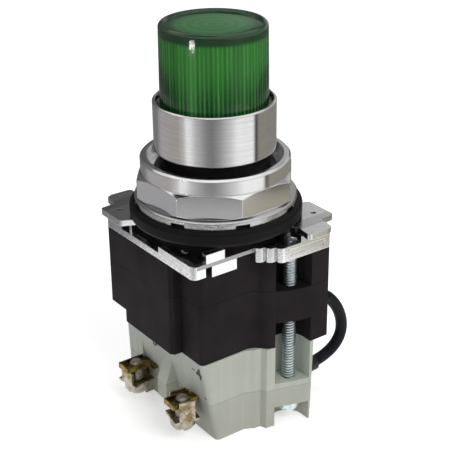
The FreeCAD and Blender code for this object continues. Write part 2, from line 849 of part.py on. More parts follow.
def contact_block():
    """Whole contact block before it is parted: core, screw columns, barriers and rooms."""
    body = block_core().fuse([both(lobe()), both(barrier()), ledge()])
    body = body.cut(both(channel(block_split + boss_above, house_bottom + 1)))
    body = body.cut(both(channel(block_bottom - 1, block_split - boss_below)))
    body = body.cut(screw_holes(block_bottom - 1, house_bottom + 1))
    body = body.cut(box(-chamber_x, chamber_x, -chamber_y, chamber_y, block_bottom + block_floor_t,
                        house_bottom - block_roof_t))
    carriage_room = box(-carriage_half - 0.4, carriage_half + 0.4, 0, leg_room,
                        block_bottom + block_floor_t, house_bottom - block_roof_t)
    body = body.cut(both(carriage_room))
    body = body.cut(leg_slots(house_bottom - block_roof_t - 1, house_bottom + 1))
    for side, x, y, pole, turn, cheek, under in terminals:
        y0, y1 = strip_span(y, pole)
        slot = box(chamber_x - 1, x, y0 - seat_gap, y1 + seat_gap,
                   strip_top - strip_t - seat_gap, strip_top + seat_gap)
        body = body.cut(mirrored(slot, side))
    return body


def around(z0, z1):
    """Block wider than the whole part, between two heights."""
    reach = 2 * step_y
    return box(-reach, reach, -reach, reach, z0, z1)


def contact_block_top(whole):
    """Upper moulding of the contact block."""
    return whole.common(around(block_split, house_bottom + house_raise + 1)).removeSplitter()


def contact_block_base(whole):
    """Lower moulding of the contact block."""
    return whole.common(around(block_bottom, block_split)).removeSplitter()


def carriage_top():
    """Height of the carriage's upper face at rest."""
    return house_bottom - block_roof_t - carriage_drop


def bridge_levels():
    """Undersides at rest of the make bridge and of the break bridge."""
    make = strip_top + carriage_gap + press_travel
    brk = strip_top - strip_t - carriage_gap - bridge_t
    return make, brk


def contact_carriage():
    """Moulded slider that the yoke presses, with a window for each bridge."""
    top = carriage_top()
    under = top - carriage_t
    make, brk = bridge_levels()
    bar = box(-carriage_half, carriage_half, -carriage_y, carriage_y, under, top)
    body = bar.fuse(rod(pad_r, under, top))
    for pole, level in ((pole_front_y, make), (pole_back_y, brk)):
        post_x = carriage_half - post_slim
        post = box(-post_x, post_x, pole - post_half_y, pole + post_half_y, level - post_foot, under)
        body = body.fuse(post)
        window = box(-carriage_half - 1, carriage_half + 1, pole - bridge_half_y, pole + bridge_half_y,
                     level, level + bridge_t)
        body = body.cut(window)
    return body.removeSplitter()


def bridge(pole, level, face_up):
    """Moving contact strip with a round contact near each end."""
    strip = box(-bridge_half_x, bridge_half_x, pole - bridge_half_y, pole + bridge_half_y,
                level, level + bridge_t)
    for x in (-bridge_half_x + contact_in, bridge_half_x - contact_in):
        z0 = level + bridge_t if face_up else level - carriage_gap
        strip = strip.fuse(rod(contact_r, z0, z0 + carriage_gap, x, pole))
    return strip


def carriage_spring():
    """Coil that lifts the carriage."""
    floor = block_bottom + block_floor_t
    return coil(lift_mean_r, lift_wire_r, floor, carriage_top() - carriage_t, lift_turns)


def strip_span(y, pole):
    """Y limits of the part of a strip that passes through the wall of the block."""
    reach = max(-strip_reach_y, min(strip_reach_y, y))
    return min(pole, reach) - strip_neck_half, max(pole, reach) + strip_neck_half


def terminal_strip(side, x, y, pole):
    """Strip from the fixed contact inside to a plate with turned-up edges round the screw."""
    z0 = strip_top - strip_t
    x0 = x - strip_head_in
    x1 = x + strip_head_out
    y0, y1 = strip_span(y, pole)
    inner = box(strip_inner_x, chamber_x + 1.0, pole - strip_neck_half, pole + strip_neck_half, z0, strip_top)
    neck = box(chamber_x + 0.5, x0 + 0.5, y0, y1, z0, strip_top)
    head = box(x0, x1, y - strip_head_half, y + strip_head_half, z0, strip_top + strip_lip)
    well = box(x0 - 1, x1 - strip_lip_t, y - strip_head_half + strip_lip_t, y + strip_head_half - strip_lip_t,
               strip_top, strip_top + strip_lip + 1)
    strip = head.cut(well).fuse([inner, neck])
    strip = strip.cut(rod(term_screw_r + lead_fit, z0 - 1, strip_top + 1, x, y))
    return mirrored(strip, side)


def mirrored(shape, side):
    """The shape as it is for the right side, or its mirror image for the left."""
    if side > 0:
        return shape
    return shape.mirror(V(0, 0, 0), V(1, 0, 0))


def clamp_bottom():
    """Height of the underside of a saddle clamp."""
    return strip_top - clamp_drop - clamp_t


def saddle_clamp(side, x, y, turn, cheek_top):
    """Bent clamp plate under the strip: a floor and two cheeks, turned about the screw."""
    low = clamp_bottom()
    floor = box(-clamp_half, clamp_half, -clamp_half, clamp_half, low, low + clamp_t)
    cheek = box(-clamp_cheek_half, clamp_cheek_half, -clamp_half, -clamp_half + clamp_t, low, cheek_top)
    body = floor.fuse([cheek, half_turn(cheek)]).removeSplitter()
    body = body.cut(rod(term_screw_r + slide_gap, low - 1, low + clamp_t + 1))
    body.rotate(V(0, 0, 0), AXIS, turn)
    body.translate(V(x, y, 0))
    return mirrored(body, side)


def terminal_screw(side, x, y, under, angle):
    """Terminal screw with its head down and its tip just above the strip."""
    tip = strip_top + term_above
    seat = clamp_bottom() - under
    return slotted_screw(side * x, y, tip, seat, term_screw_r, term_head_r, term_head_h, angle)


def mounting_screw():
    """Long screw that holds the contact block and the light unit to the casting."""
    seat = block_split - boss_below
    return slotted_screw(screw_x, screw_y, screw_tip, seat, screw_r, screw_head_r, screw_head_h, slot_turn)


def lug_mouth(along):
    """Point on the axis of the lug's barrel at a distance from its root."""
    rise = math.radians(lug_rise_deg)
    side, x, y, pole, turn, cheek, under = terminals[2]
    root = V(lug_neck_x, y, clamp_bottom() - lug_t + barrel_r * 0.55)
    return root.add(V(math.cos(rise), 0, math.sin(rise)) * along)


def lead_lug():
    """Ring lug between the clamp and the screw's head, with a barrel crimped on the lead."""
    side, x, y, pole, turn, cheek, under = terminals[2]
    z1 = clamp_bottom()
    plate = rod(lug_half, z1 - lug_t, z1, x, y)
    plate = plate.fuse(box(x, lug_neck_x + 0.6, y - barrel_r + 0.3, y + barrel_r - 0.3, z1 - lug_t, z1))
    aim = lug_mouth(1).sub(lug_mouth(0))
    barrel = Part.makeCylinder(barrel_r, barrel_len, lug_mouth(0), aim)
    bore = Part.makeCylinder(lead_r + lead_fit, barrel_len, lug_mouth(barrel_len - barrel_depth), aim)
    body = plate.fuse(barrel).cut(bore)
    return body.cut(rod(term_screw_r + seat_gap, z1 - lug_t - 1, z1 + 1, x, y))


def lead_route():
    """Points of the lead from inside the housing to the barrel of the lug."""
    start = lead_start()
    corners = [start.add(V(x, y, z)) for x, y, z in lead_loop]
    return [start] + corners + [lug_mouth(lead_last_run), lug_mouth(barrel_len - barrel_depth)]


def lead_wire():
    """Black lead: a tube along straight runs and tangent arcs through the route."""
    points = lead_route()
    edges = []
    here = points[0]
    for i in range(1, len(points) - 1):
        back = points[i - 1].sub(points[i])
        ahead = points[i + 1].sub(points[i])
        run = min(back.Length, ahead.Length)
        half = (math.pi - back.getAngle(ahead)) / 2
        radius = 0.45 * run / math.tan(half)
        print("lead bend %d radius %.2f mm, %.1f diameters" % (i, radius, radius / (2 * lead_r)))
        back.normalize()
        ahead.normalize()
        reach = 0.45 * run
        first = points[i].add(back * reach)
        last = points[i].add(ahead * reach)
        middle = back.add(ahead)
        middle.normalize()
        mid = points[i].add(middle * (radius / math.cos(half) - radius))
        edges.append(Part.LineSegment(here, first).toShape())
        edges.append(Part.Arc(first, mid, last).toShape())
        here = last
    edges.append(Part.LineSegment(here, points[-1]).toShape())
    path = Part.Wire(edges)
    aim = points[1].sub(points[0])
    section = Part.Wire([Part.makeCircle(lead_r, points[0], aim)])
    tube = path.makePipeShell([section], True, True)
    print("lead length %.1f mm" % path.Length)
    print("lead volume %.1f, section times length %.1f" % (tube.Volume, math.pi * lead_r ** 2 * path.Length))
    return tube


def build():
    """Make every piece and return them by name."""
    whole_block = contact_block()
    make, brk = bridge_levels()
    front_screw = mounting_screw()
    pieces = {
        "lens": lens(),
        "lens_gasket": lens_gasket(),
        "lens_sleeve": lens_sleeve(),
        "plunger": plunger(),
        "retaining_clip": retaining_clip(),
        "push_yoke": push_yoke(),
        "return_spring": return_spring(),
        "neck_seal": neck_seal(),
        "mounting_nut": mounting_nut(),
        "thrust_washer": thrust_washer(),
        "panel_gasket": panel_gasket(),
        "operator_body": operator_body(),
        "upper_housing": upper_housing(),
        "lower_housing": lower_housing(),
        "lamp_holder": lamp_holder(),
        "lamp_socket": lamp_socket(),
        "centre_contact": centre_contact(),
        "lamp_base": lamp_base(),
        "lamp_bulb": lamp_bulb(),
        "transformer_core": transformer_core(),
        "transformer_coil": transformer_coil(),
        "lead_grommet": lead_grommet(),
        "lead_wire": lead_wire(),
        "lead_lug": lead_lug(),
        "contact_block_top": contact_block_top(whole_block),
        "contact_block_base": contact_block_base(whole_block),
        "contact_carriage": contact_carriage(),
        "make_bridge": bridge(pole_front_y, make, False),
        "break_bridge": bridge(pole_back_y, brk, True),
        "carriage_spring": carriage_spring(),
        "mounting_screw_front": front_screw,
        "mounting_screw_back": half_turn(front_screw),
    }
    for number, (side, x, y, pole, turn, cheek, under) in enumerate(terminals, 1):
        pieces["terminal_strip_%d" % number] = terminal_strip(side, x, y, pole)
        pieces["saddle_clamp_%d" % number] = saddle_clamp(side, x, y, turn, cheek)
        pieces["terminal_screw_%d" % number] = terminal_screw(side, x, y, under, slot_angles[number - 1])
    return pieces


def main():
    """Write one file for each piece."""
    os.makedirs(PARTS, exist_ok=True)
    for name, shape in build().items():
        if shape.ShapeType == "Compound" and len(shape.Solids) == 1:
            shape = shape.Solids[0]
        print("%-22s solids %d volume %.1f" % (name, len(shape.Solids), shape.Volume))
        shape.exportStep("%s/%s.step" % (PARTS, name))


main()
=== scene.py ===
"""Looks of the panel pilot light: finishes, screw threads, moulded marks, the lead and the studio."""

import logging
import math
from dataclasses import dataclass, field
from enum import Enum
from typing import Any, Callable, Mapping, Sequence

import bpy
from mathutils import Matrix, Vector


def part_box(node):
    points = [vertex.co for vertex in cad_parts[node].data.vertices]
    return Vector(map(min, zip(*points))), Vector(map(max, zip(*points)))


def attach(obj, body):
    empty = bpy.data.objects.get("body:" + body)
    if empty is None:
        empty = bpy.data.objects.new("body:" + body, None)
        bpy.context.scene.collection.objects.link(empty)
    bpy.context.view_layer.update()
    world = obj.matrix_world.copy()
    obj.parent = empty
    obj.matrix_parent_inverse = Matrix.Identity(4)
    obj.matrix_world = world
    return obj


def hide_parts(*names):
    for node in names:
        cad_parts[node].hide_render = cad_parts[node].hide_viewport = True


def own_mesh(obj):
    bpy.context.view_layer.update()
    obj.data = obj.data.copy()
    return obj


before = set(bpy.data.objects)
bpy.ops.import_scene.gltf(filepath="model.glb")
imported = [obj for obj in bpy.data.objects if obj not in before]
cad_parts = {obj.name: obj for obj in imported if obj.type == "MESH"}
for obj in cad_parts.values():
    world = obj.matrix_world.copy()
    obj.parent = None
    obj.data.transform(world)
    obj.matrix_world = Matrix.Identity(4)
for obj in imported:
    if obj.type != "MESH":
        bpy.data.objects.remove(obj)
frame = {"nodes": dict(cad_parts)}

LOG = logging.getLogger("pilot_light")
MM = 0.001
Colour = tuple[float, float, float]


def srgb(red: int, green: int, blue: int) -> Colour:
    """Turn a display colour into the linear colour that a shader takes.

    Args:
        red: Red from 0 to 255.
        green: Green from 0 to 255.
        blue: Blue from 0 to 255.

    Returns:
        The same colour as three linear numbers.
    """
    def linear(level: int) -> float:
        """Linear share of one display level."""
        share = level / 255.0
        return share / 12.92 if share <= 0.04045 else ((share + 0.055) / 1.055) ** 2.4

    return linear(red), linear(green), linear(blue)


def grey(level: int) -> Colour:
    """Linear neutral colour of a display level."""
    return srgb(level, level, level)


def toward(azimuth: float, elevation: float) -> Vector:
    """Direction from the object, at two angles in degrees, with azimuth nought at -Y."""
    turn = math.radians(azimuth)
    tip = math.radians(elevation)
    return Vector((math.sin(turn) * math.cos(tip), -math.cos(turn) * math.cos(tip), math.sin(tip)))


def stand(name: str, data: bpy.types.ID) -> bpy.types.Object:
    """Make an object of some data and link it to the scene."""
    made = bpy.data.objects.new(name, data)
    bpy.context.scene.collection.objects.link(made)
    return made


def mesh_of(holder: bpy.types.Object) -> bpy.types.Mesh:
    """Final mesh of an object, which is then removed."""
    bpy.context.view_layer.update()
    mesh = bpy.data.meshes.new_from_object(holder.evaluated_get(bpy.context.evaluated_depsgraph_get()))
    bpy.data.objects.remove(holder)
    return mesh


class Slot(Enum):
    """The record's material slots, one for each finish."""

    LENS = "lens_green"
    BLACK_RUBBER = "black_rubber"
    GASKET = "gasket_rubber"
    BRIGHT_CHROME = "bright_chrome"
    NUT_CHROME = "nut_chrome"
    WASHER = "washer_steel"
    DIE_CAST = "die_cast"
    WHITE_PLASTIC = "white_plastic"
    SPRING = "spring_steel"
    BLACK_HOUSING = "black_housing"
    HOLDER = "holder_plastic"
    SOCKET_BRASS = "socket_brass"
    COPPER = "contact_copper"
    LAMP_METAL = "lamp_metal"
    LAMP_GLASS = "lamp_glass"
    CORE = "core_iron"
    COIL = "coil_tape"
    LEAD = "lead_black"
    LUG = "lug_tin"
    BLOCK = "block_grey"
    BLOCK_BASE = "block_base_grey"
    CARRIAGE = "carriage_plastic"
    STRIP = "terminal_brass"
    CLAMP = "clamp_brass"
    NICKEL = "screw_nickel"
    ZINC = "screw_zinc"


def maths(operation: str, swapped: bool = False) -> Callable[..., "Value"]:
    """Make a method of Value that adds a Math node.

    Args:
        operation: The Math node's operation.
        swapped: Whether the socket comes after the other operand.

    Returns:
        The method.
    """
    def method(first: "Value", *others: Any) -> "Value":
        """Add the node and return its result."""
        operands = (*others, first) if swapped else (first, *others)
        return first.graph.value("ShaderNodeMath", {"operation": operation}, dict(enumerate(operands)))

    return method


class Value:
    """A node socket whose maths is written as a Python expression."""

    def __init__(self, graph: "Graph", socket: bpy.types.NodeSocket) -> None:
        """Wrap one output socket of a graph."""
        self.graph = graph
        self.socket = socket

    __add__ = maths("ADD")
    __radd__ = maths("ADD", swapped=True)
    __sub__ = maths("SUBTRACT")
    __rsub__ = maths("SUBTRACT", swapped=True)
    __mul__ = maths("MULTIPLY")
    __truediv__ = maths("DIVIDE")
    __pow__ = maths("POWER")
    __abs__ = maths("ABSOLUTE")
    __lt__ = maths("LESS_THAN")
    __gt__ = maths("GREATER_THAN")
    sine = maths("SINE")
    part = maths("FRACT")
    whole = maths("FLOOR")
    at_most = maths("MINIMUM")
    at_least = maths("MAXIMUM")
    turn_from = maths("ARCTAN2")

    def step(self, low: float, high: float, start: float = 0.0, end: float = 1.0) -> "Value":
        """Smooth rise between two levels.

        Args:
            low: Where the rise starts.
            high: Where the rise ends.
            start: The result below low.
            end: The result above high.

        Returns:
            The eased value, held at its ends.
        """
        return self.graph.value("ShaderNodeMapRange", {"interpolation_type": "SMOOTHSTEP", "clamp": True},
                                {"Value": self, "From Min": low, "From Max": high,
                                 "To Min": start, "To Max": end})


class Graph:
    """A node tree with one way to add a node."""

    def __init__(self, tree: bpy.types.NodeTree) -> None:
        """Take over a tree and empty it."""
        self.tree = tree
        self.tree.nodes.clear()

    def _socket(self, sockets: Any, key: int | str) -> bpy.types.NodeSocket:
        """Find a socket by its number, identifier or name.

        Args:
            sockets: A node's inputs or outputs.
            key: The number, identifier or name.

        Returns:
            The socket.
        """
        if isinstance(key, int):
            return sockets[key]
        for socket in sockets:
            if socket.identifier == key:
                return socket
        return sockets[key]

    def node(self, kind: str, settings: Mapping[str, Any] | None = None,
             inputs: Mapping[int | str, Any] | None = None) -> bpy.types.Node:
        """Add a node, then set it, then fill or link its sockets.

        Args:
            kind: The node's type.
            settings: Its settings; "stops" gives a ramp its (position, colour) pairs.
            inputs: Socket values, Value objects or output sockets by socket key.

        Returns:
            The node.
        """
        made = self.tree.nodes.new(kind)
        for name, setting in (settings or {}).items():
            if name == "stops":
                self._fill_ramp(made.color_ramp, setting)
            else:
                setattr(made, name, setting)
        for key, given in (inputs or {}).items():
            socket = self._socket(made.inputs, key)
            if isinstance(given, Value):
                self.tree.links.new(given.socket, socket)
            elif isinstance(given, bpy.types.NodeSocket):
                self.tree.links.new(given, socket)
            elif socket.type == "RGBA" and len(given) == 3:
                socket.default_value = (*given, 1.0)
            else:
                socket.default_value = given
        return made

    @staticmethod
    def _fill_ramp(ramp: bpy.types.ColorRamp, stops: Sequence[tuple[float, Colour]]) -> None:
        """Give a colour ramp its stops."""
        while len(ramp.elements) > 1:
            ramp.elements.remove(ramp.elements[-1])
        ramp.elements[0].position = stops[0][0]
        ramp.elements[0].color = (*stops[0][1], 1.0)
        for position, colour in stops[1:]:
            ramp.elements.new(position).color = (*colour, 1.0)

    def value(self, kind: str, settings: Mapping[str, Any] | None = None,
              inputs: Mapping[int | str, Any] | None = None, output: int | str = 0) -> Value:
        """Add a node and return one of its outputs.

        Args:
            kind: The node's type.
            settings: Its settings.
            inputs: What its sockets get.
            output: The key of the output.

        Returns:
            The wrapped output.
        """
        return Value(self, self._socket(self.node(kind, settings, inputs).outputs, output))

    def mix(self, share: Any, first: Any, second: Any) -> Value:
        """Blend two colours.

        Args:
            share: How much of the second colour shows.
            first: A colour or a Value.
            second: A colour or a Value.

        Returns:
            The blended colour.
        """
        return self.value("ShaderNodeMix", {"data_type": "RGBA", "clamp_factor": True},
                          {"Factor_Float": share, "A_Color": first, "B_Color": second}, "Result_Color")

    def millimetres(self) -> Value:
        """Place on the object in millimetres, as a vector."""
        place = self.value("ShaderNodeTexCoord", output="Object")
        return self.value("ShaderNodeVectorMath", {"operation": "SCALE"}, {0: place, "Scale": 1 / MM})

    def axes(self, vector: Value) -> tuple[Value, Value, Value]:
        """The three numbers of a vector."""
        node = self.node("ShaderNodeSeparateXYZ", inputs={0: vector})
        return Value(self, node.outputs[0]), Value(self, node.outputs[1]), Value(self, node.outputs[2])

    def noise(self, vector: Value, fineness: float, detail: float = 3.0,
              stretch: Colour = (1.0, 1.0, 1.0)) -> Value:
        """Soft random pattern.

        Args:
            vector: Place in millimetres.
            fineness: Blotches in a millimetre.
            detail: How many finer layers are added.
            stretch: Share of the fineness along each axis.

        Returns:
            A value near one half that wanders between nought and one.
        """
        place = self.value("ShaderNodeVectorMath", {"operation": "MULTIPLY"}, {0: vector, 1: stretch})
        return self.value("ShaderNodeTexNoise", {"noise_dimensions": "3D"},
                          {"Vector": place, "Scale": fineness, "Detail": detail})

    def specks(self, vector: Value, fineness: float) -> Value:
        """Distance to the nearest of many scattered dots, in cells."""
        return self.value("ShaderNodeTexVoronoi", {"feature": "F1"}, {"Vector": vector, "Scale": fineness})

    def bump(self, height: Value, depth: float, strength: float = 1.0, edge: float = 0.0) -> Value:
        """Normal of a surface with relief.

        Args:
            height: Relief from nought to one.
            depth: Height of the relief in millimetres.
            strength: Share of the relief that shows.
            edge: Radius in millimetres by which edges look rounded.

        Returns:
            The bumped normal.
        """
        inputs = {"Height": height, "Distance": depth * MM, "Strength": strength}
        if edge:
            inputs["Normal"] = self.value("ShaderNodeBevel", {"samples": 6}, {"Radius": edge * MM})
        return self.value("ShaderNodeBump", None, inputs)

    def principled(self, **inputs: Any) -> None:
        """End the graph in a Principled shader.

        Args:
            **inputs: Socket values or links, with an underscore for each space of the name.
        """
        sockets = {name.replace("_", " "): given for name, given in inputs.items()}
        shader = self.node("ShaderNodeBsdfPrincipled", None, sockets)
        self.node("ShaderNodeOutputMaterial", None, {"Surface": shader.outputs[0]})


@dataclass(frozen=True)
class Finish:
    """A surface finish that fills one material slot."""

    slot: Slot

    def paint(self, graph: Graph) -> None:
        """Build the nodes of the finish."""
        raise NotImplementedError

    def material(self) -> bpy.types.Material:
        """Make the material.

        Returns:
            The material, named after its slot.
        """
        made = bpy.data.materials.new(self.slot.value)
        made.use_nodes = True
        self.paint(Graph(made.node_tree))
        return made


@dataclass(frozen=True)
class LensPlastic(Finish):
    """Deep green moulded plastic, with fine upright lines for the flutes of its inner wall."""

    body: Colour = srgb(66, 148, 64)
    bright: Colour = srgb(112, 186, 100)
    deep: Colour = srgb(26, 68, 34)
    rim: Colour = srgb(44, 74, 48)
    dish: Colour = srgb(72, 144, 84)
    clear: float = 0.35
    flutes: int = 78
    foot_fade: tuple[float, float] = (25.0, 37.0)
    roof_fade: tuple[float, float] = (40.2, 41.4)
    dish_fade: tuple[float, float] = (7.6, 10.6)
    # turn round the lens of the painted light streak
    painted_streak_turn: float = -2.586
    rings_per_mm: float = 2.6

    def paint(self, graph: Graph) -> None:
        """Green with dark lines between the flutes, painted highlights on their crests, painted shade near
        the foot and at the silhouette edges, a painted light streak at one turn, and the dish and rim
        colours on the solid roof.
        """
        place = graph.millimetres()
        x, y, z = graph.axes(place)
        reach = (x * x + y * y) ** 0.5
        turn = y.turn_from(x)
        wave = (turn * self.flutes).sine() * 0.5 + 0.5
        streak = graph.noise(place, 0.7, 2.0, (1.0, 1.0, 0.04)).step(0.36, 0.64)
        # painted shade: darker towards the foot of the lens
        foot = z.step(*self.foot_fade, 1.0, 0.0)
        # painted shade: darker where the surface turns away from the view, at the silhouette edges
        edge = graph.value("ShaderNodeLayerWeight", None, {"Blend": 0.35}, "Facing").step(0.15, 0.75)
        # flute lines, made stronger at the foot and the edges as painted shade
        lines = wave.step(0.25, 0.9) * (foot * 0.2 + foot * edge * 0.4 + 0.16)
        # painted highlights: pale green on the crests of the flutes, broken up by the streaks
        crest_highlights = (1 - wave).step(0.72, 0.98) * streak.step(0.0, 1.0, 0.42, 0.08)
        # painted light: a lighter upright streak at one turn round the lens
        painted_streak = abs(turn - self.painted_streak_turn).step(0.03, 0.10, 0.45, 0.0)
        # how dark the green is: flute lines and random streaks, plus painted shade at the foot and the
        # edges, less the painted light streak
        depth = lines + streak * 0.25 + foot * 0.45 + edge * 0.25 + foot * edge * 1.9 - painted_streak
        depth = depth.at_most(1.0)
        wall = graph.mix(crest_highlights, graph.mix(depth, self.body, self.deep), self.bright)
        roof = z.step(*self.roof_fade)
        thin = graph.noise(place, 0.09, 1.0).step(0.42, 0.6) * 0.4
        edging = graph.mix(thin, self.rim, self.deep)
        top = graph.mix(reach.step(*self.dish_fade), self.dish, edging)
        ripple = graph.noise(place, 0.5, 1.0)
        rings = (reach * self.rings_per_mm).sine() * 0.5 + 0.5
        graph.principled(Base_Color=graph.mix(roof, wall, graph.mix(rings * 0.3, top, self.rim)),
                         Roughness=graph.noise(place, 1.5) * 0.05 + 0.05, IOR=1.49,
                         Transmission_Weight=self.clear,
                         Normal=graph.bump(ripple * 0.5 + wave * (1 - roof) * 0.15, 0.05, 0.5))


@dataclass(frozen=True)
class Chrome(Finish):
    """Plated and polished metal, with fine turned lines where it has them."""

    tint: Colour = (0.80, 0.80, 0.80)
    smooth: float = 0.06
    line: float = 0.0
    grain: float = 0.0
    edge: float = 0.3

    def paint(self, graph: Graph) -> None:
        """Mirror with faint lines round the axis and a haze that comes and goes."""
        place = graph.millimetres()
        haze = graph.noise(place, 0.35, 3.0)
        lines = graph.noise(place, 5.0, 3.0, (0.02, 0.02, 1.0))
        waver = graph.noise(place, 0.18, 1.0)
        relief = lines * self.line + waver * 2.0 + graph.noise(place, 1.6, 3.0) * self.grain
        dull = tuple(0.82 * part for part in self.tint)
        worn = (haze * 0.5 + lines.step(0.35, 0.65) * self.line * 0.25).at_most(1.0)
        graph.principled(Base_Color=graph.mix(worn, self.tint, dull), Metallic=1.0,
                         Roughness=haze * 0.06 + lines * 0.05 + self.smooth,
                         Normal=graph.bump(relief, 0.004, 0.6, self.edge))


@dataclass(frozen=True)
class CastMetal(Finish):
    """Plated zinc casting with a fine grain, and the thread of its bushing."""

    tint: Colour = (0.89, 0.89, 0.90)
    edge: float = 0.15
    thread_r: float = 15.0
    thread_deep: float = 0.75
    thread_z: tuple[float, float] = (0.02, 8.0)
    pitch: float = 1.5
    bar_y: float = 16.4
    bar_z: tuple[float, float] = (-8.42, -7.42)
    flute_y: float = 20.6

    def paint(self, graph: Graph) -> None:
        """Bright grainy metal with painted shade on faces that point sideways and painted dark reflections
        on the bar and the flutes, with a helical thread on the bushing.
        """
        place = graph.millimetres()
        x, y, z = graph.axes(place)
        grain = graph.noise(place, 3.2, 5.0)
        cloud = graph.noise(place, 0.22, 2.0)
        reach = (x * x + y * y) ** 0.5
        at_side = reach > self.thread_r - self.thread_deep
        on_thread = at_side * (z > self.thread_z[0]) * (z < self.thread_z[1])
        tooth = abs((z / self.pitch - y.turn_from(x) / math.tau).part() - 0.5) * 2.0
        relief = grain * 0.05 + tooth * on_thread
        dark = tuple(0.7 * part for part in self.tint)
        dim = tuple(0.3 * part for part in self.tint)
        worn = cloud.step(0.4, 0.75) * 0.25 + grain.step(0.5, 0.7) * 0.25
        # painted dark reflection on the slim bar between the raised rims
        painted_dark_bar = (abs(abs(y) - self.bar_y) < 0.05) * (z > self.bar_z[0]) * (z < self.bar_z[1])
        # painted shade: faces that point sideways along x are darkened, with a grainy edge
        nx, _, _ = graph.axes(graph.value("ShaderNodeNewGeometry", output="Normal"))
        painted_shade_flank = abs(nx).step(0.3, 0.9) * (grain.step(0.42, 0.58) * 0.4 + 0.3)
        # painted dark reflection on the flutes between the bar and the boss
        painted_dark_flutes = (abs(y) > self.bar_y + 0.3) * (abs(y) < self.flute_y) * 0.35
        shade = (painted_dark_bar * 0.85).at_least(painted_shade_flank).at_least(painted_dark_flutes)
        colour = graph.mix(shade, graph.mix(worn, self.tint, dark), dim)
        graph.principled(Base_Color=colour, Metallic=1.0, Roughness=grain * 0.1 + cloud * 0.06 + 0.1,
                         Normal=graph.bump(relief, 0.45, 0.5, self.edge))


@dataclass(frozen=True)
class Moulding(Finish):
    """Opaque moulded plastic with a parting line."""

    body: Colour = (0.02, 0.02, 0.02)
    shade: Colour = (0.01, 0.01, 0.01)
    rough: float = 0.42
    shine: float = 0.5
    seam: float = -1000.0
    seam_depth: float = 1.0
    dust: float = 0.0
    bands: float = 0.0

    def paint(self, graph: Graph) -> None:
        """Slightly uneven plastic, darker in the seam between two mouldings."""
        place = graph.millimetres()
        _, _, z = graph.axes(place)
        cloud = graph.noise(place, 0.12, 3.0)
        grain = graph.noise(place, 4.0, 4.0)
        streak = graph.noise(place, 0.5, 2.0, (1.0, 1.0, 0.05))
        seam = abs(z - self.seam).step(0.04, 0.16, self.seam_depth, 0.0)
        speck = graph.specks(place, 0.9).step(0.05, 0.09, 1.0, 0.0) * self.dust
        worn = cloud.step(0.35, 0.7) * (1 - self.bands) + streak.step(0.3, 0.7) * self.bands
        worn = worn.at_most(1.0)
        base = graph.mix(worn, self.body, self.shade)
        dark = tuple(0.25 * part for part in self.body)
        pale = tuple(min(0.8, 2.5 * part + 0.05) for part in self.body)
        colour = graph.mix(speck, graph.mix(seam, base, dark), pale)
        relief = grain * 0.12 + cloud * 0.3 - seam
        graph.principled(Base_Color=colour, Roughness=cloud * 0.12 + grain * 0.08 + self.rough, IOR=1.5,
                         Specular_IOR_Level=self.shine, Normal=graph.bump(relief, 0.1, 0.6))


@dataclass(frozen=True)
class Rubber(Finish):
    """Black rubber, matt, with faint rings from its mould."""

    body: Colour = (0.006, 0.005, 0.005)
    rough: float = 0.5
    shine: float = 0.15
    ring: float = 0.0
    ring_pitch: float = 0.9

    def paint(self, graph: Graph) -> None:
        """Dull black with a soft bloom."""
        place = graph.millimetres()
        _, _, z = graph.axes(place)
        bloom = graph.noise(place, 0.3, 4.0)
        grain = graph.noise(place, 6.0, 3.0)
        rings = (z * (math.tau / self.ring_pitch)).sine() * self.ring
        pale = tuple(1.6 * part + 0.002 for part in self.body)
        graph.principled(Base_Color=graph.mix(bloom.step(0.45, 0.8) * 0.6, self.body, pale),
                         Roughness=bloom * 0.2 + self.rough, IOR=1.45, Specular_IOR_Level=self.shine,
                         Normal=graph.bump(grain * 0.3 + rings, 0.06, 0.5))


@dataclass(frozen=True)
class Plating(Finish):
    """Thin plated coat on a small metal part, uneven in colour."""

    first: Colour = (0.6, 0.6, 0.6)
    second: Colour = (0.5, 0.5, 0.5)
    patch: float = 0.6
    rough: float = 0.25
    tarnish: float = 0.3

    def painted_shade_and_sleeve(self, graph: Graph, place: Value) -> Value | float:
        """Share of the colour that turns black, as painted shade in a recess or as a part's own black
        sleeve.

        Args:
            graph: The graph that is being built.
            place: Place in millimetres.

        Returns:
            Nought on plain parts.
        """
        return 0.0

    def paint(self, graph: Graph) -> None:
        """Two tints that drift into each other, with darker stains and a fine scratch."""
        place = graph.millimetres()
        drift = graph.noise(place, self.patch, 3.0)
        stain = graph.noise(place, self.patch * 2.3, 4.0)
        scratch = graph.noise(place, 5.0, 3.0, (1.0, 0.15, 0.15))
        dark = tuple(0.3 * part for part in self.second)
        colour = graph.mix(stain.step(0.5, 0.75) * self.tarnish,
                           graph.mix(drift.step(0.38, 0.62), self.first, self.second), dark)
        black = tuple(0.06 * part for part in self.second)
        graph.principled(Base_Color=graph.mix(self.painted_shade_and_sleeve(graph, place), colour, black), Metallic=1.0,
                         Roughness=stain * 0.2 + scratch * 0.1 + self.rough,
                         Normal=graph.bump(scratch * 0.4 + drift * 0.6, 0.05, 0.5))


@dataclass(frozen=True)
class ScrewPlating(Plating):
    """Plating with painted shade in the roots of the mounting screws' threads, weaker on their upper
    stretch.
    """

    screw_x: float = 9.4
    screw_y: float = -17.2
    root_r: float = 1.47
    crest_r: float = 1.68
    head_z: float = -52.0
    upper_z: float = -20.0

    def painted_shade_and_sleeve(self, graph: Graph, place: Value) -> Value | float:
        """Painted shade: one at the root and nought at the crest, round the nearer of the two screws."""
        x, y, z = graph.axes(place)
        front = (y < 0.0) * 2.0 - 1.0
        aside = x * front - self.screw_x
        across = y * front - self.screw_y
        reach = (aside * aside + across * across) ** 0.5
        near = reach.step(self.root_r, self.crest_r, 1.0, 0.0) * (reach > self.root_r - 0.015)
        # painted shade, none on the heads and weaker above upper_z
        return near * (z > self.head_z) * (0.85 - (z > self.upper_z) * 0.45)


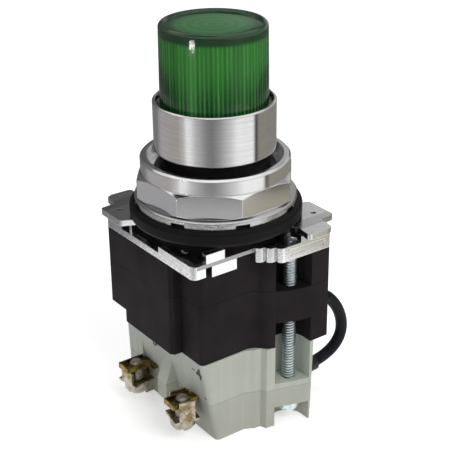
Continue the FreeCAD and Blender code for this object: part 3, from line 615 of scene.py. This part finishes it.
@dataclass(frozen=True)
class LugPlating(Plating):
    """Tinned copper, with a black sleeve over the crimped barrel."""

    sleeve_x: float = 18.6

    def painted_shade_and_sleeve(self, graph: Graph, place: Value) -> Value | float:
        """One on the sleeve and nought on the ring."""
        x, _, _ = graph.axes(place)
        return x.step(self.sleeve_x - 0.1, self.sleeve_x + 0.1) * 0.97


@dataclass(frozen=True)
class LampGlass(Finish):
    """Thin clear glass of the lamp."""

    def paint(self, graph: Graph) -> None:
        """Clear glass with slight ripples from blowing."""
        place = graph.millimetres()
        ripple = graph.noise(place, 0.3, 1.0)
        graph.principled(Base_Color=(0.97, 0.98, 0.97), Roughness=ripple * 0.03, IOR=1.5,
                         Transmission_Weight=0.9, Normal=graph.bump(ripple, 0.05, 0.3))


@dataclass(frozen=True)
class Laminations(Finish):
    """Stack of varnished iron sheets."""

    sheet: float = 0.5

    def paint(self, graph: Graph) -> None:
        """Iron with a dark line between each two sheets."""
        place = graph.millimetres()
        _, y, _ = graph.axes(place)
        gap = abs((y / self.sheet).part() - 0.5).step(0.36, 0.46)
        rust = graph.noise(place, 0.8, 4.0).step(0.5, 0.7)
        iron = graph.mix(rust * 0.6, (0.16, 0.15, 0.15), (0.13, 0.07, 0.04))
        graph.principled(Base_Color=graph.mix(gap, iron, (0.02, 0.02, 0.02)), Metallic=0.7,
                         Roughness=rust * 0.3 + 0.45, Normal=graph.bump(1 - gap, 0.08))


@dataclass(frozen=True)
class Winding(Finish):
    """Taped coil winding with the wires showing through."""

    wire: float = 0.35

    def paint(self, graph: Graph) -> None:
        """Amber tape over rows of wire."""
        place = graph.millimetres()
        _, _, z = graph.axes(place)
        row = (z * (math.tau / self.wire)).sine() * 0.5 + 0.5
        lap = graph.noise(place, 0.4, 2.0)
        amber = graph.mix(row * 0.5 + lap * 0.4, (0.42, 0.20, 0.05), (0.2, 0.08, 0.02))
        graph.principled(Base_Color=amber,
                         Roughness=lap * 0.2 + 0.3, Coat_Weight=0.4, Normal=graph.bump(row, 0.08))


@dataclass(frozen=True)
class Jacket(Finish):
    """Soft black insulation of the lead."""

    def paint(self, graph: Graph) -> None:
        """Blue-black plastic with faint smears."""
        place = graph.millimetres()
        smear = graph.noise(place, 0.35, 3.0)
        grain = graph.noise(place, 5.0, 3.0)
        black = graph.mix(smear.step(0.4, 0.7), (0.007, 0.008, 0.010), (0.012, 0.013, 0.017))
        graph.principled(Base_Color=black,
                         Roughness=smear * 0.18 + 0.36, IOR=1.5, Specular_IOR_Level=0.1,
                         Normal=graph.bump(grain + smear * 2, 0.03, 0.5))


FINISHES: tuple[Finish, ...] = (
    LensPlastic(Slot.LENS),
    Rubber(Slot.BLACK_RUBBER, rough=0.25, shine=0.5, ring=0.25),
    Rubber(Slot.GASKET, rough=0.42),
    Chrome(Slot.BRIGHT_CHROME, tint=(0.84, 0.84, 0.84), smooth=0.07, line=1.8),
    Chrome(Slot.NUT_CHROME, tint=(0.88, 0.88, 0.88), smooth=0.08, line=0.4),
    Chrome(Slot.WASHER, tint=(0.62, 0.62, 0.61), smooth=0.12, line=0.5, grain=24.0),
    CastMetal(Slot.DIE_CAST),
    Moulding(Slot.WHITE_PLASTIC, body=grey(205), shade=srgb(196, 194, 186), rough=0.35),
    Plating(Slot.SPRING, first=(0.55, 0.55, 0.56), second=(0.42, 0.42, 0.44), rough=0.22),
    Moulding(Slot.BLACK_HOUSING, body=srgb(42, 38, 40), shade=srgb(36, 32, 34), rough=0.45, shine=0.04,
             seam=-19.5, seam_depth=0.6, dust=0.25),
    Moulding(Slot.HOLDER, body=srgb(120, 84, 52), shade=srgb(96, 66, 40), rough=0.4),
    Plating(Slot.SOCKET_BRASS, first=(0.70, 0.50, 0.18), second=(0.58, 0.42, 0.16), rough=0.25),
    Plating(Slot.COPPER, first=(0.75, 0.36, 0.20), second=(0.62, 0.30, 0.17), rough=0.28),
    Plating(Slot.LAMP_METAL, first=(0.66, 0.62, 0.54), second=(0.54, 0.50, 0.43), rough=0.25),
    LampGlass(Slot.LAMP_GLASS),
    Laminations(Slot.CORE),
    Winding(Slot.COIL),
    Jacket(Slot.LEAD),
    LugPlating(Slot.LUG, first=(0.62, 0.62, 0.62), second=(0.50, 0.50, 0.52), rough=0.3, tarnish=0.5),
    Moulding(Slot.BLOCK, body=srgb(190, 194, 184), shade=srgb(178, 183, 173), rough=0.45, shine=0.35,
             seam=-47.4, seam_depth=0.35, bands=0.6),
    Moulding(Slot.BLOCK_BASE, body=srgb(182, 184, 173), shade=srgb(172, 175, 164), rough=0.45, shine=0.35,
             seam=-47.4, seam_depth=0.35, bands=0.4),
    Moulding(Slot.CARRIAGE, body=srgb(58, 60, 64), shade=srgb(44, 46, 50), rough=0.4),
    Plating(Slot.STRIP, first=(0.36, 0.26, 0.05), second=(0.13, 0.10, 0.04), rough=0.26, tarnish=0.9),
    Plating(Slot.CLAMP, first=(0.52, 0.46, 0.40), second=(0.26, 0.20, 0.09), rough=0.26, tarnish=0.8),
    Plating(Slot.NICKEL, first=(0.50, 0.45, 0.37), second=(0.34, 0.31, 0.25), rough=0.22),
    ScrewPlating(Slot.ZINC, first=(0.76, 0.86, 0.88), second=(0.60, 0.69, 0.71), rough=0.24),
)


class Palette:
    """The finished materials by slot."""

    def __init__(self) -> None:
        """Make every material once."""
        self.materials = {finish.slot: finish.material() for finish in FINISHES}

    def dress(self, nodes: Mapping[str, bpy.types.Object]) -> None:
        """Give every carried-over solid its finish.

        Args:
            nodes: The solids by name.
        """
        for name, node in nodes.items():
            for holder in node.material_slots:
                slot = Slot(holder.material.name.split(".")[0])
                holder.material = self.materials[slot]
            LOG.info("%s wears %s", name, ", ".join(s.material.name for s in node.material_slots))


def middle_of(node: str) -> Vector:
    """Middle of a solid's box."""
    low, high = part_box(node)
    return (low + high) / 2


def put(name: str, mesh: bpy.types.Mesh, slot: Slot, palette: Palette, body: str) -> bpy.types.Object:
    """Place a finished mesh as a piece that rides on a body.

    Args:
        name: The piece's name.
        mesh: Its mesh, in metres in the part's own frame.
        slot: The finish that it wears.
        palette: Where the materials are.
        body: The body that it rides on.

    Returns:
        The object.
    """
    piece = stand(name, mesh)
    mesh.name = name
    if not mesh.materials:
        mesh.materials.append(palette.materials[slot])
    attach(piece, body)
    LOG.info("%s: %d faces on %s", name, len(mesh.polygons), body)
    return piece


@dataclass(frozen=True)
class PressedSpring:
    """A coil spring that stands in place of its solid, as a copy of the solid's mesh."""

    name: str
    node: str
    joint: str
    travel: float = 4.0

    def build(self, palette: Palette) -> None:
        """Stand a copy of the spring's solid where the solid is, and hide the solid.

        Args:
            palette: Where the materials are.
        """
        low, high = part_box(self.node)
        piece = put(self.name, frame["nodes"][self.node].data.copy(), Slot.SPRING, palette, "housing")
        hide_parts(self.node)
        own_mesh(piece)


class ThreadTree:
    """Geometry Nodes tree that stands a threaded rod on every point of a mesh."""

    SIZES = ("Core", "Ridge", "Pitch", "Length")
    ROWS_PER_TURN = 8.0
    CORNERS_ROUND = 28

    def __init__(self) -> None:
        """Build the tree once, with named inputs."""
        self.tree = bpy.data.node_groups.new("threaded_rods", "GeometryNodeTree")
        face = self.tree.interface
        face.new_socket("Geometry", in_out="INPUT", socket_type="NodeSocketGeometry")
        self.keys = {size: face.new_socket(size, in_out="INPUT", socket_type="NodeSocketFloat").identifier
                     for size in self.SIZES}
        self.keys["Finish"] = face.new_socket("Finish", in_out="INPUT",
                                              socket_type="NodeSocketMaterial").identifier
        face.new_socket("Geometry", in_out="OUTPUT", socket_type="NodeSocketGeometry")
        self._fill(Graph(self.tree))

    def _fill(self, graph: Graph) -> None:
        """Add the nodes: a rod whose side swells in a helix, an instance at each point."""
        entry = graph.node("NodeGroupInput")
        core, ridge, pitch, length = (Value(graph, entry.outputs[size]) for size in self.SIZES)
        rows = (length / pitch * self.ROWS_PER_TURN).whole()
        rod = graph.value("GeometryNodeMeshCylinder", {"fill_type": "TRIANGLE_FAN"},
                          {"Vertices": self.CORNERS_ROUND, "Side Segments": rows, "Radius": core,
                           "Depth": length})
        place = graph.value("GeometryNodeInputPosition")
        x, y, z = graph.axes(place)
        tooth = 1 - abs((z / pitch - y.turn_from(x) / math.tau).part() - 0.5) * 2.0
        at_side = (x * x + y * y) ** 0.5 > core * 0.5
        grow = 1 + ridge / core * tooth.step(0.1, 0.75) * at_side
        moved = graph.value("ShaderNodeCombineXYZ", None, {"X": x * grow, "Y": y * grow, "Z": z})
        shaped = graph.value("GeometryNodeSetPosition", None, {"Geometry": rod, "Position": moved})
        smooth = graph.value("GeometryNodeSetShadeSmooth", None, {"Geometry": shaped})
        many = graph.value("GeometryNodeInstanceOnPoints", None,
                           {"Points": entry.outputs["Geometry"], "Instance": smooth})
        real = graph.value("GeometryNodeRealizeInstances", None, {"Geometry": many})
        dressed = graph.value("GeometryNodeSetMaterial", None,
                              {"Geometry": real, "Material": entry.outputs["Finish"]})
        graph.node("NodeGroupOutput", None, {"Geometry": dressed})


@dataclass(frozen=True)
class ThreadRun:
    """The same stretch of thread on several screws, with its sizes in millimetres."""

    name: str
    screws: tuple[str, ...]
    low: float
    high: float
    core: float
    ridge: float
    pitch: float
    slot: Slot

    def build(self, tree: ThreadTree, palette: Palette) -> None:
        """Stand a threaded rod on every screw, as one piece.

        Args:
            tree: The node tree that makes the rods.
            palette: Where the materials are.
        """
        level = (self.low + self.high) / 2 * MM
        seeds = bpy.data.meshes.new(self.name + "_seeds")
        seeds.from_pydata([(*middle_of(screw).xy, level) for screw in self.screws], [], [])
        holder = stand(self.name + "_holder", seeds)
        modifier = holder.modifiers.new("thread", "NODES")
        modifier.node_group = tree.tree
        sizes = {"Core": self.core, "Ridge": self.ridge, "Pitch": self.pitch,
                 "Length": self.high - self.low}
        for size, number in sizes.items():
            modifier[tree.keys[size]] = number * MM
        modifier[tree.keys["Finish"]] = palette.materials[self.slot]
        put(self.name, mesh_of(holder), self.slot, palette, "housing")


MOUNTING_SCREWS = ("mounting_screw_front", "mounting_screw_back")
TERMINAL_SCREWS = tuple("terminal_screw_%d" % number for number in (1, 2, 3, 4))
THREADS = (
    ThreadRun("mounting_thread_upper", MOUNTING_SCREWS, -19.5, -10.7, 1.46, 0.28, 0.75, Slot.ZINC),
    ThreadRun("mounting_thread_lower", MOUNTING_SCREWS, -45.8, -28.3, 1.46, 0.28, 0.75, Slot.ZINC),
    ThreadRun("terminal_thread", TERMINAL_SCREWS, -51.25, -47.85, 1.71, 0.2, 0.8, Slot.NICKEL),
)


@dataclass
class DeckPins:
    """Small domed pins that stand on top of the upper housing."""

    palette: Palette
    places: tuple[tuple[float, float], ...] = ((-13.9, -6.8), (13.9, 6.8))
    foot_z: float = -8.85
    side_z: float = -8.4
    top_z: float = -7.5
    radius: float = 1.0
    steps: int = 20
    rows: int = 5

    def _outline(self) -> list[tuple[float, float]]:
        """Reach and level of the pin's side and dome, from the foot up."""
        dome = [(self.radius * math.cos(math.pi / 2 * i / self.rows),
                 self.side_z + (self.top_z - self.side_z) * math.sin(math.pi / 2 * i / self.rows))
                for i in range(self.rows)]
        return [(self.radius, self.foot_z)] + dome

    def build(self) -> None:
        """Turn both pins as one closed mesh."""
        corners: list[Colour] = []
        sides: list[tuple[int, ...]] = []
        outline = self._outline()
        for x, y in self.places:
            first = len(corners)
            for reach, z in outline:
                for i in range(self.steps):
                    turn = math.tau * i / self.steps
                    east, north = x + reach * math.cos(turn), y + reach * math.sin(turn)
                    corners.append((east * MM, north * MM, z * MM))
            corners.append((x * MM, y * MM, self.top_z * MM))
            tip = len(corners) - 1
            for row in range(len(outline) - 1):
                low, high = first + row * self.steps, first + (row + 1) * self.steps
                sides += [(low + i, low + (i + 1) % self.steps, high + (i + 1) % self.steps, high + i)
                          for i in range(self.steps)]
            last = first + (len(outline) - 1) * self.steps
            sides += [(last + i, last + (i + 1) % self.steps, tip) for i in range(self.steps)]
            sides.append(tuple(first + i for i in reversed(range(self.steps))))
        mesh = bpy.data.meshes.new("deck_pins")
        mesh.from_pydata(corners, [], sides)
        mesh.shade_smooth()
        put("deck_pins", mesh, Slot.BRIGHT_CHROME, self.palette, "housing")


@dataclass
class Lead:
    """Black lead from the side of the housing round to the front right terminal."""

    palette: Palette
    diameter: float = 3.1
    length: float = 43.4
    route: tuple[Colour, ...] = ((13.0, -10.0, -29.6), (25.4, -10.0, -29.6), (32.1, -10.2, -36.7),
                                 (34.0, -10.1, -45.0), (29.27, -9.6, -50.82), (22.2, -9.6, -51.44))

    def build(self) -> None:
        curve = bpy.data.curves.new("lead", "CURVE")
        curve.dimensions = "3D"
        line = curve.splines.new("NURBS")
        line.points.add(len(self.route) - 1)
        for point, corner in zip(line.points, self.route):
            point.co = (*(MM * part for part in corner), 1.0)
        line.order_u = 3
        line.use_endpoint_u = True
        line.resolution_u = 16
        curve.bevel_depth = self.diameter / 2 * MM
        curve.bevel_resolution = 8
        curve.use_fill_caps = True
        curve.materials.append(self.palette.materials[Slot.LEAD])
        piece = stand("lead", curve)
        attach(piece, "housing")
        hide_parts("lead_wire")
        LOG.info("lead: %d points on housing", len(self.route))


@dataclass
class TerminalMarks:
    """Plain numerals and short lines moulded on the sides of the contact block."""

    palette: Palette
    size: float = 4.7
    relief: float = 0.12
    top_x: float = 15.5
    foot_x: float = 11.4
    top_z: float = -35.2
    foot_z: float = -58.3
    bold: float = 0.10
    dash_half: float = 0.12
    numerals: tuple[tuple[str, int, float, float], ...] = (
        ("4", -1, -12.75, -38.6), ("3", -1, 7.0, -38.6), ("2", 1, 12.75, -38.6), ("1", 1, -7.0, -38.6))
    dashes: tuple[tuple[float, float, float], ...] = ((10.6, -38.2, 1.4), (13.6, -45.6, 1.0))

    def _frame(self, side: int, y: float, z: float) -> Matrix:
        """Matrix that lays flat work on the sloping side of the block.

        Args:
            side: -1 for the left side and 1 for the right.
            y: Place along the side in millimetres.
            z: Level in millimetres.

        Returns:
            The matrix in metres.
        """
        slope = (self.top_x - self.foot_x) / (self.top_z - self.foot_z)
        x = side * (self.foot_x + slope * (z - self.foot_z))
        along = Vector((0, side, 0))
        up = Vector((side * slope, 0, 1)).normalized()
        out = along.cross(up)
        turned = Matrix((along, up, out)).transposed().to_4x4()
        return Matrix.Translation(Vector((x, y, z)) * MM) @ turned

    def _numeral(self, text: str, side: int, y: float, z: float) -> None:
        """Stand one numeral a little proud of the side."""
        shape = bpy.data.curves.new("numeral", "FONT")
        shape.body = text
        shape.size = self.size * MM
        shape.align_x = "CENTER"
        shape.align_y = "CENTER"
        shape.extrude = self.relief / 2 * MM
        shape.offset = self.bold * MM
        mesh = mesh_of(stand("numeral", shape))
        mesh.transform(self._frame(side, y, z))
        mesh.materials.clear()
        put("numeral_" + text, mesh, Slot.CARRIAGE, self.palette, "housing")

    def _dash(self, number: int, side: int, y: float, z: float, length: float) -> None:
        """Lay one short line beside a numeral."""
        half, thick, proud = length / 2 * MM, self.dash_half * MM, self.relief / 2 * MM
        corners = [(x, y2, h) for h in (-proud, proud) for x, y2 in
                   ((-half, -thick), (half, -thick), (half, thick), (-half, thick))]
        sides = [(0, 3, 2, 1), (4, 5, 6, 7), (0, 1, 5, 4), (1, 2, 6, 5), (2, 3, 7, 6), (3, 0, 4, 7)]
        mesh = bpy.data.meshes.new("dash")
        mesh.from_pydata(corners, [], sides)
        mesh.transform(self._frame(side, y, z))
        put("dash_%d" % number, mesh, Slot.CARRIAGE, self.palette, "housing")

    def build(self) -> None:
        """Make all the marks."""
        for text, side, y, z in self.numerals:
            self._numeral(text, side, y, z)
        both = [(side, *dash) for dash in self.dashes for side in (-1, 1)]
        for number, (side, y, z, length) in enumerate(both, 1):
            self._dash(number, side, side * y, z, length)


@dataclass
class Viewpoint:
    """Where the camera stands, as angles and distances from a pivot near the lens's top."""

    azimuth: float = -35.808
    elevation: float = 25.067
    roll: float = -0.676
    distance: float = 258.805
    aside: float = -2.682
    above: float = 45.615
    focal_pixels: float = 1140.785
    picture_pixels: float = 450.0
    pivot_z: float = 42.7
    sensor: float = 36.0
    clip: tuple[float, float] = (0.01, 20.0)

    def axes(self) -> tuple[Vector, Vector, Vector]:
        """Right, up and back directions of the camera."""
        turn, roll = math.radians(self.azimuth), math.radians(self.roll)
        back = toward(self.azimuth, self.elevation)
        level = Vector((math.cos(turn), math.sin(turn), 0))
        upright = back.cross(level)
        right = level * math.cos(roll) + upright * math.sin(roll)
        return right, upright * math.cos(roll) - level * math.sin(roll), back

    def build(self) -> None:
        """Make the camera and use it."""
        right, up, back = self.axes()
        data = bpy.data.cameras.new("camera")
        data.sensor_width = self.sensor
        data.lens = self.sensor * self.focal_pixels / self.picture_pixels
        data.clip_start, data.clip_end = self.clip
        camera = stand("camera", data)
        place = Vector((0, 0, self.pivot_z)) + back * self.distance - right * self.aside - up * self.above
        turned = Matrix((right, up, back)).transposed().to_4x4()
        camera.matrix_world = Matrix.Translation(place * MM) @ turned
        bpy.context.scene.camera = camera


@dataclass(frozen=True)
class Softbox:
    """One square lamp that gloss doesn't mirror, at angles from the photo's camera."""

    name: str
    azimuth: float
    elevation: float
    distance: float
    size: float
    power: float

    def build(self, view: Viewpoint) -> None:
        """Hang the lamp and turn it to the object."""
        data = bpy.data.lights.new(self.name, "AREA")
        data.shape = "SQUARE"
        data.size = self.size
        data.energy = self.power
        lamp = stand(self.name, data)
        away = toward(view.azimuth + self.azimuth, self.elevation)
        lamp.location = away * self.distance
        lamp.rotation_mode = "QUATERNION"
        lamp.rotation_quaternion = away.to_track_quat("Z", "Y")
        lamp.visible_glossy = False


def lit(name: str, tone: Callable[[Graph], Any], strength: float = 1.0) -> bpy.types.Material:
    """Material that only glows.

    Args:
        name: The material's name.
        tone: Gives the colour, as nodes or as a plain colour, once the graph is there.
        strength: Its brightness.

    Returns:
        The material.
    """
    material = bpy.data.materials.new(name)
    material.use_nodes = True
    graph = Graph(material.node_tree)
    glow = graph.node("ShaderNodeEmission", None, {"Color": tone(graph), "Strength": strength})
    graph.node("ShaderNodeOutputMaterial", None, {"Surface": glow.outputs[0]})
    return material


def stand_card(name: str, corners: Sequence[Colour], sides: Sequence[tuple[int, ...]],
               material: bpy.types.Material) -> None:
    """Add a studio card that only metal and gloss can see.

    Args:
        name: The card's name.
        corners: Its corners in metres.
        sides: Its faces, as numbers of corners.
        material: Its glow.
    """
    mesh = bpy.data.meshes.new(name)
    mesh.from_pydata(corners, [], sides)
    mesh.materials.append(material)
    card = stand(name, mesh)
    card.visible_camera = False
    card.visible_diffuse = False
    card.visible_transmission = False
    card.visible_volume_scatter = False
    card.visible_shadow = False


@dataclass(frozen=True)
class Card:
    """Upright card bent round the object, with a colour or a level of grey for each direction."""

    name: str
    radius: float
    low: float
    high: float
    tones: tuple[tuple[float, Colour | int], ...]
    start: float = -180.0
    end: float = 180.0
    strength: float = 1.0
    steps: int = 128

    def _tone(self, graph: Graph, view: Viewpoint) -> Value:
        """Tone that goes round with the angle from the photo's camera, and stays in other views.

        Args:
            graph: The graph of the card's material.
            view: Where the camera of the photo stands.

        Returns:
            The colour.
        """
        x, y, _ = graph.axes(graph.value("ShaderNodeTexCoord", output="Object"))
        turn = math.radians(view.azimuth)
        aside = x * math.cos(turn) + y * math.sin(turn)
        front = x * math.sin(turn) - y * math.cos(turn)
        stops = [(angle / 360 + 0.5, grey(tone) if isinstance(tone, int) else tone)
                 for angle, tone in self.tones]
        return graph.value("ShaderNodeValToRGB", {"stops": stops},
                           {0: aside.turn_from(front) / math.tau + 0.5})

    def build(self, view: Viewpoint) -> None:
        """Stand the card round the object."""
        turns = [math.radians(view.azimuth + self.start + (self.end - self.start) * i / self.steps)
                 for i in range(self.steps + 1)]
        corners = [(self.radius * MM * math.sin(turn), -self.radius * MM * math.cos(turn), z * MM)
                   for z in (self.low, self.high) for turn in turns]
        above = self.steps + 1
        sides = [(i, i + 1, above + i + 1, above + i) for i in range(self.steps)]
        material = lit(self.name, lambda graph: self._tone(graph, view), self.strength)
        stand_card(self.name, corners, sides, material)


@dataclass(frozen=True)
class Hood:
    """Level round card overhead that darkens the nut's chamfers."""

    name: str
    aside: float
    away: float
    height: float
    radius: float
    tone: Colour
    steps: int = 48

    def build(self, view: Viewpoint) -> None:
        """Hang the card over the object, placed as seen from the camera."""
        turn = math.radians(view.azimuth)
        right = Vector((math.cos(turn), math.sin(turn), 0))
        behind = Vector((-math.sin(turn), math.cos(turn), 0))
        middle = right * self.aside + behind * self.away + Vector((0, 0, self.height))
        spokes = [Vector((math.cos(math.tau * i / self.steps), math.sin(math.tau * i / self.steps), 0))
                  for i in range(self.steps)]
        corners = [tuple((middle + spoke * self.radius) * MM) for spoke in spokes]
        stand_card(self.name, corners, [tuple(range(self.steps))], lit(self.name, lambda _: self.tone))


@dataclass
class Studio:
    """Pale floor, white surroundings, soft lamps and grey cards that the chrome mirrors."""

    view: Viewpoint = field(default_factory=Viewpoint)
    floor_z: float = -58.3
    floor_half: float = 3.0
    floor_drop: float = 0.00002
    floor_tone: float = 0.86
    floor_glow: float = 0.45
    ambient: float = 0.5
    lamps: tuple[Softbox, ...] = (
        Softbox("key", 38.0, 42.0, 0.80, 0.40, 2.7),
        Softbox("fill", -62.0, 30.0, 0.90, 0.40, 0.35),
        Softbox("top", 160.0, 70.0, 0.80, 0.50, 1.2),
    )
    cards: tuple[Card, ...] = (
        Card("nut_cards", 115.0, -58.3, -36.5, (
            (-180, 135), (-128, 120), (-104, srgb(158, 158, 162)), (-70, srgb(172, 170, 172)),
            (-54, 222), (-40, 180), (-28, 160), (-14, 176), (10, 180),
            (34, 235), (60, 255), (70, srgb(176, 172, 160)), (84, srgb(160, 154, 136)),
            (110, srgb(140, 134, 122)), (180, 135))),
        Card("lens_cards", 115.0, -7.0, 24.0, (
            (-180, 90), (-75, 110), (-45, 160), (-30, 110), (20, 100),
            (50, 165), (75, 120), (180, 90))),
        Card("front_cards", 115.0, -36.5, -7.0, (
            (-180, 135), (-128, 120), (-112, srgb(172, 168, 170)), (-66, srgb(170, 165, 160)),
            (-54, srgb(205, 200, 198)), (-50, 250), (-42, 240), (-34, 200),
            (-14, 140), (-4, 128), (8, 158), (28, 218), (40, 255),
            (71, 255), (76, 40), (79, 60), (83, srgb(148, 144, 134)),
            (130, srgb(142, 138, 132)), (180, 135))),
        Card("back_cards", 120.0, 24.0, 76.0, (
            (-180, 128), (-166, 86), (-150, 84), (-120, 120),
            (-90, srgb(104, 108, 116)), (-55, 120), (-34, 50), (18, 50),
            (36, 190), (60, 250), (120, 190), (160, 200), (180, 128))),
        Card("high_cards", 122.0, 76.0, 130.0, (
            (-180, 96), (-140, 110), (-100, 230), (100, 230), (140, 120),
            (180, 96))),
        Card("glint_card", 114.0, 12.9, 14.3, ((-180, 255),), -47.0, -36.0, 40.0, 4),
    )
    hood: Hood = Hood("hood_card", -100.0, 40.0, 400.0, 125.0, grey(25))

    @staticmethod
    def _seen(graph: Graph) -> Value:
        """One for rays that are looked along, straight, in metal or through glass."""
        path = graph.node("ShaderNodeLightPath")
        seen = Value(graph, path.outputs["Is Camera Ray"])
        seen = seen.at_least(Value(graph, path.outputs["Is Glossy Ray"]))
        return seen.at_least(Value(graph, path.outputs["Is Transmission Ray"]))

    def _world(self) -> None:
        """White to the eye, in metal and through glass, and softer as light."""
        world = bpy.data.worlds.new("studio")
        bpy.context.scene.world = world
        world.use_nodes = True
        graph = Graph(world.node_tree)
        strength = self._seen(graph) * (1.0 - self.ambient) + self.ambient
        back = graph.node("ShaderNodeBackground", None, {"Color": (1.0, 1.0, 1.0), "Strength": strength})
        graph.node("ShaderNodeOutputWorld", None, {"Surface": back.outputs[0]})

    def _floor(self) -> None:
        """Wide pale floor that keeps the object's shadow."""
        half = self.floor_half
        level = self.floor_z * MM - self.floor_drop
        corners = [(x * half, y * half, level) for x, y in ((-1, -1), (1, -1), (1, 1), (-1, 1))]
        mesh = bpy.data.meshes.new("floor")
        mesh.from_pydata(corners, [], [(0, 1, 2, 3)])
        floor = stand("floor", mesh)
        material = bpy.data.materials.new("floor")
        material.use_nodes = True
        graph = Graph(material.node_tree)
        plain = graph.node("ShaderNodeBsdfDiffuse", None, {"Color": (self.floor_tone,) * 3})
        glow = graph.node("ShaderNodeEmission", None,
                          {"Color": (1.0, 1.0, 1.0), "Strength": self._seen(graph) * self.floor_glow})
        both = graph.node("ShaderNodeAddShader", None, {0: plain.outputs[0], 1: glow.outputs[0]})
        graph.node("ShaderNodeOutputMaterial", None, {"Surface": both.outputs[0]})
        mesh.materials.append(material)

    def build(self) -> None:
        """Set up the whole studio."""
        self.view.build()
        self._world()
        self._floor()
        for card in self.cards:
            card.build(self.view)
        self.hood.build(self.view)
        for lamp in self.lamps:
            lamp.build(self.view)
        bpy.context.scene.view_settings.view_transform = "Standard"
        LOG.info("studio ready")


SPRINGS = (
    PressedSpring("return_coil", "return_spring", "push"),
    PressedSpring("carriage_coil", "carriage_spring", "contact_travel"),
)


def main() -> None:
    """Dress the solids and add the pieces."""
    logging.basicConfig(level=logging.INFO, format="%(name)s: %(message)s")
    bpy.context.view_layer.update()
    Studio().build()
    palette = Palette()
    palette.dress(frame["nodes"])
    Lead(palette).build()
    tree = ThreadTree()
    for run in THREADS:
        run.build(tree, palette)
    DeckPins(palette).build()
    for spring in SPRINGS:
        spring.build(palette)
    TerminalMarks(palette).build()


if __name__ == "__main__":
    main()
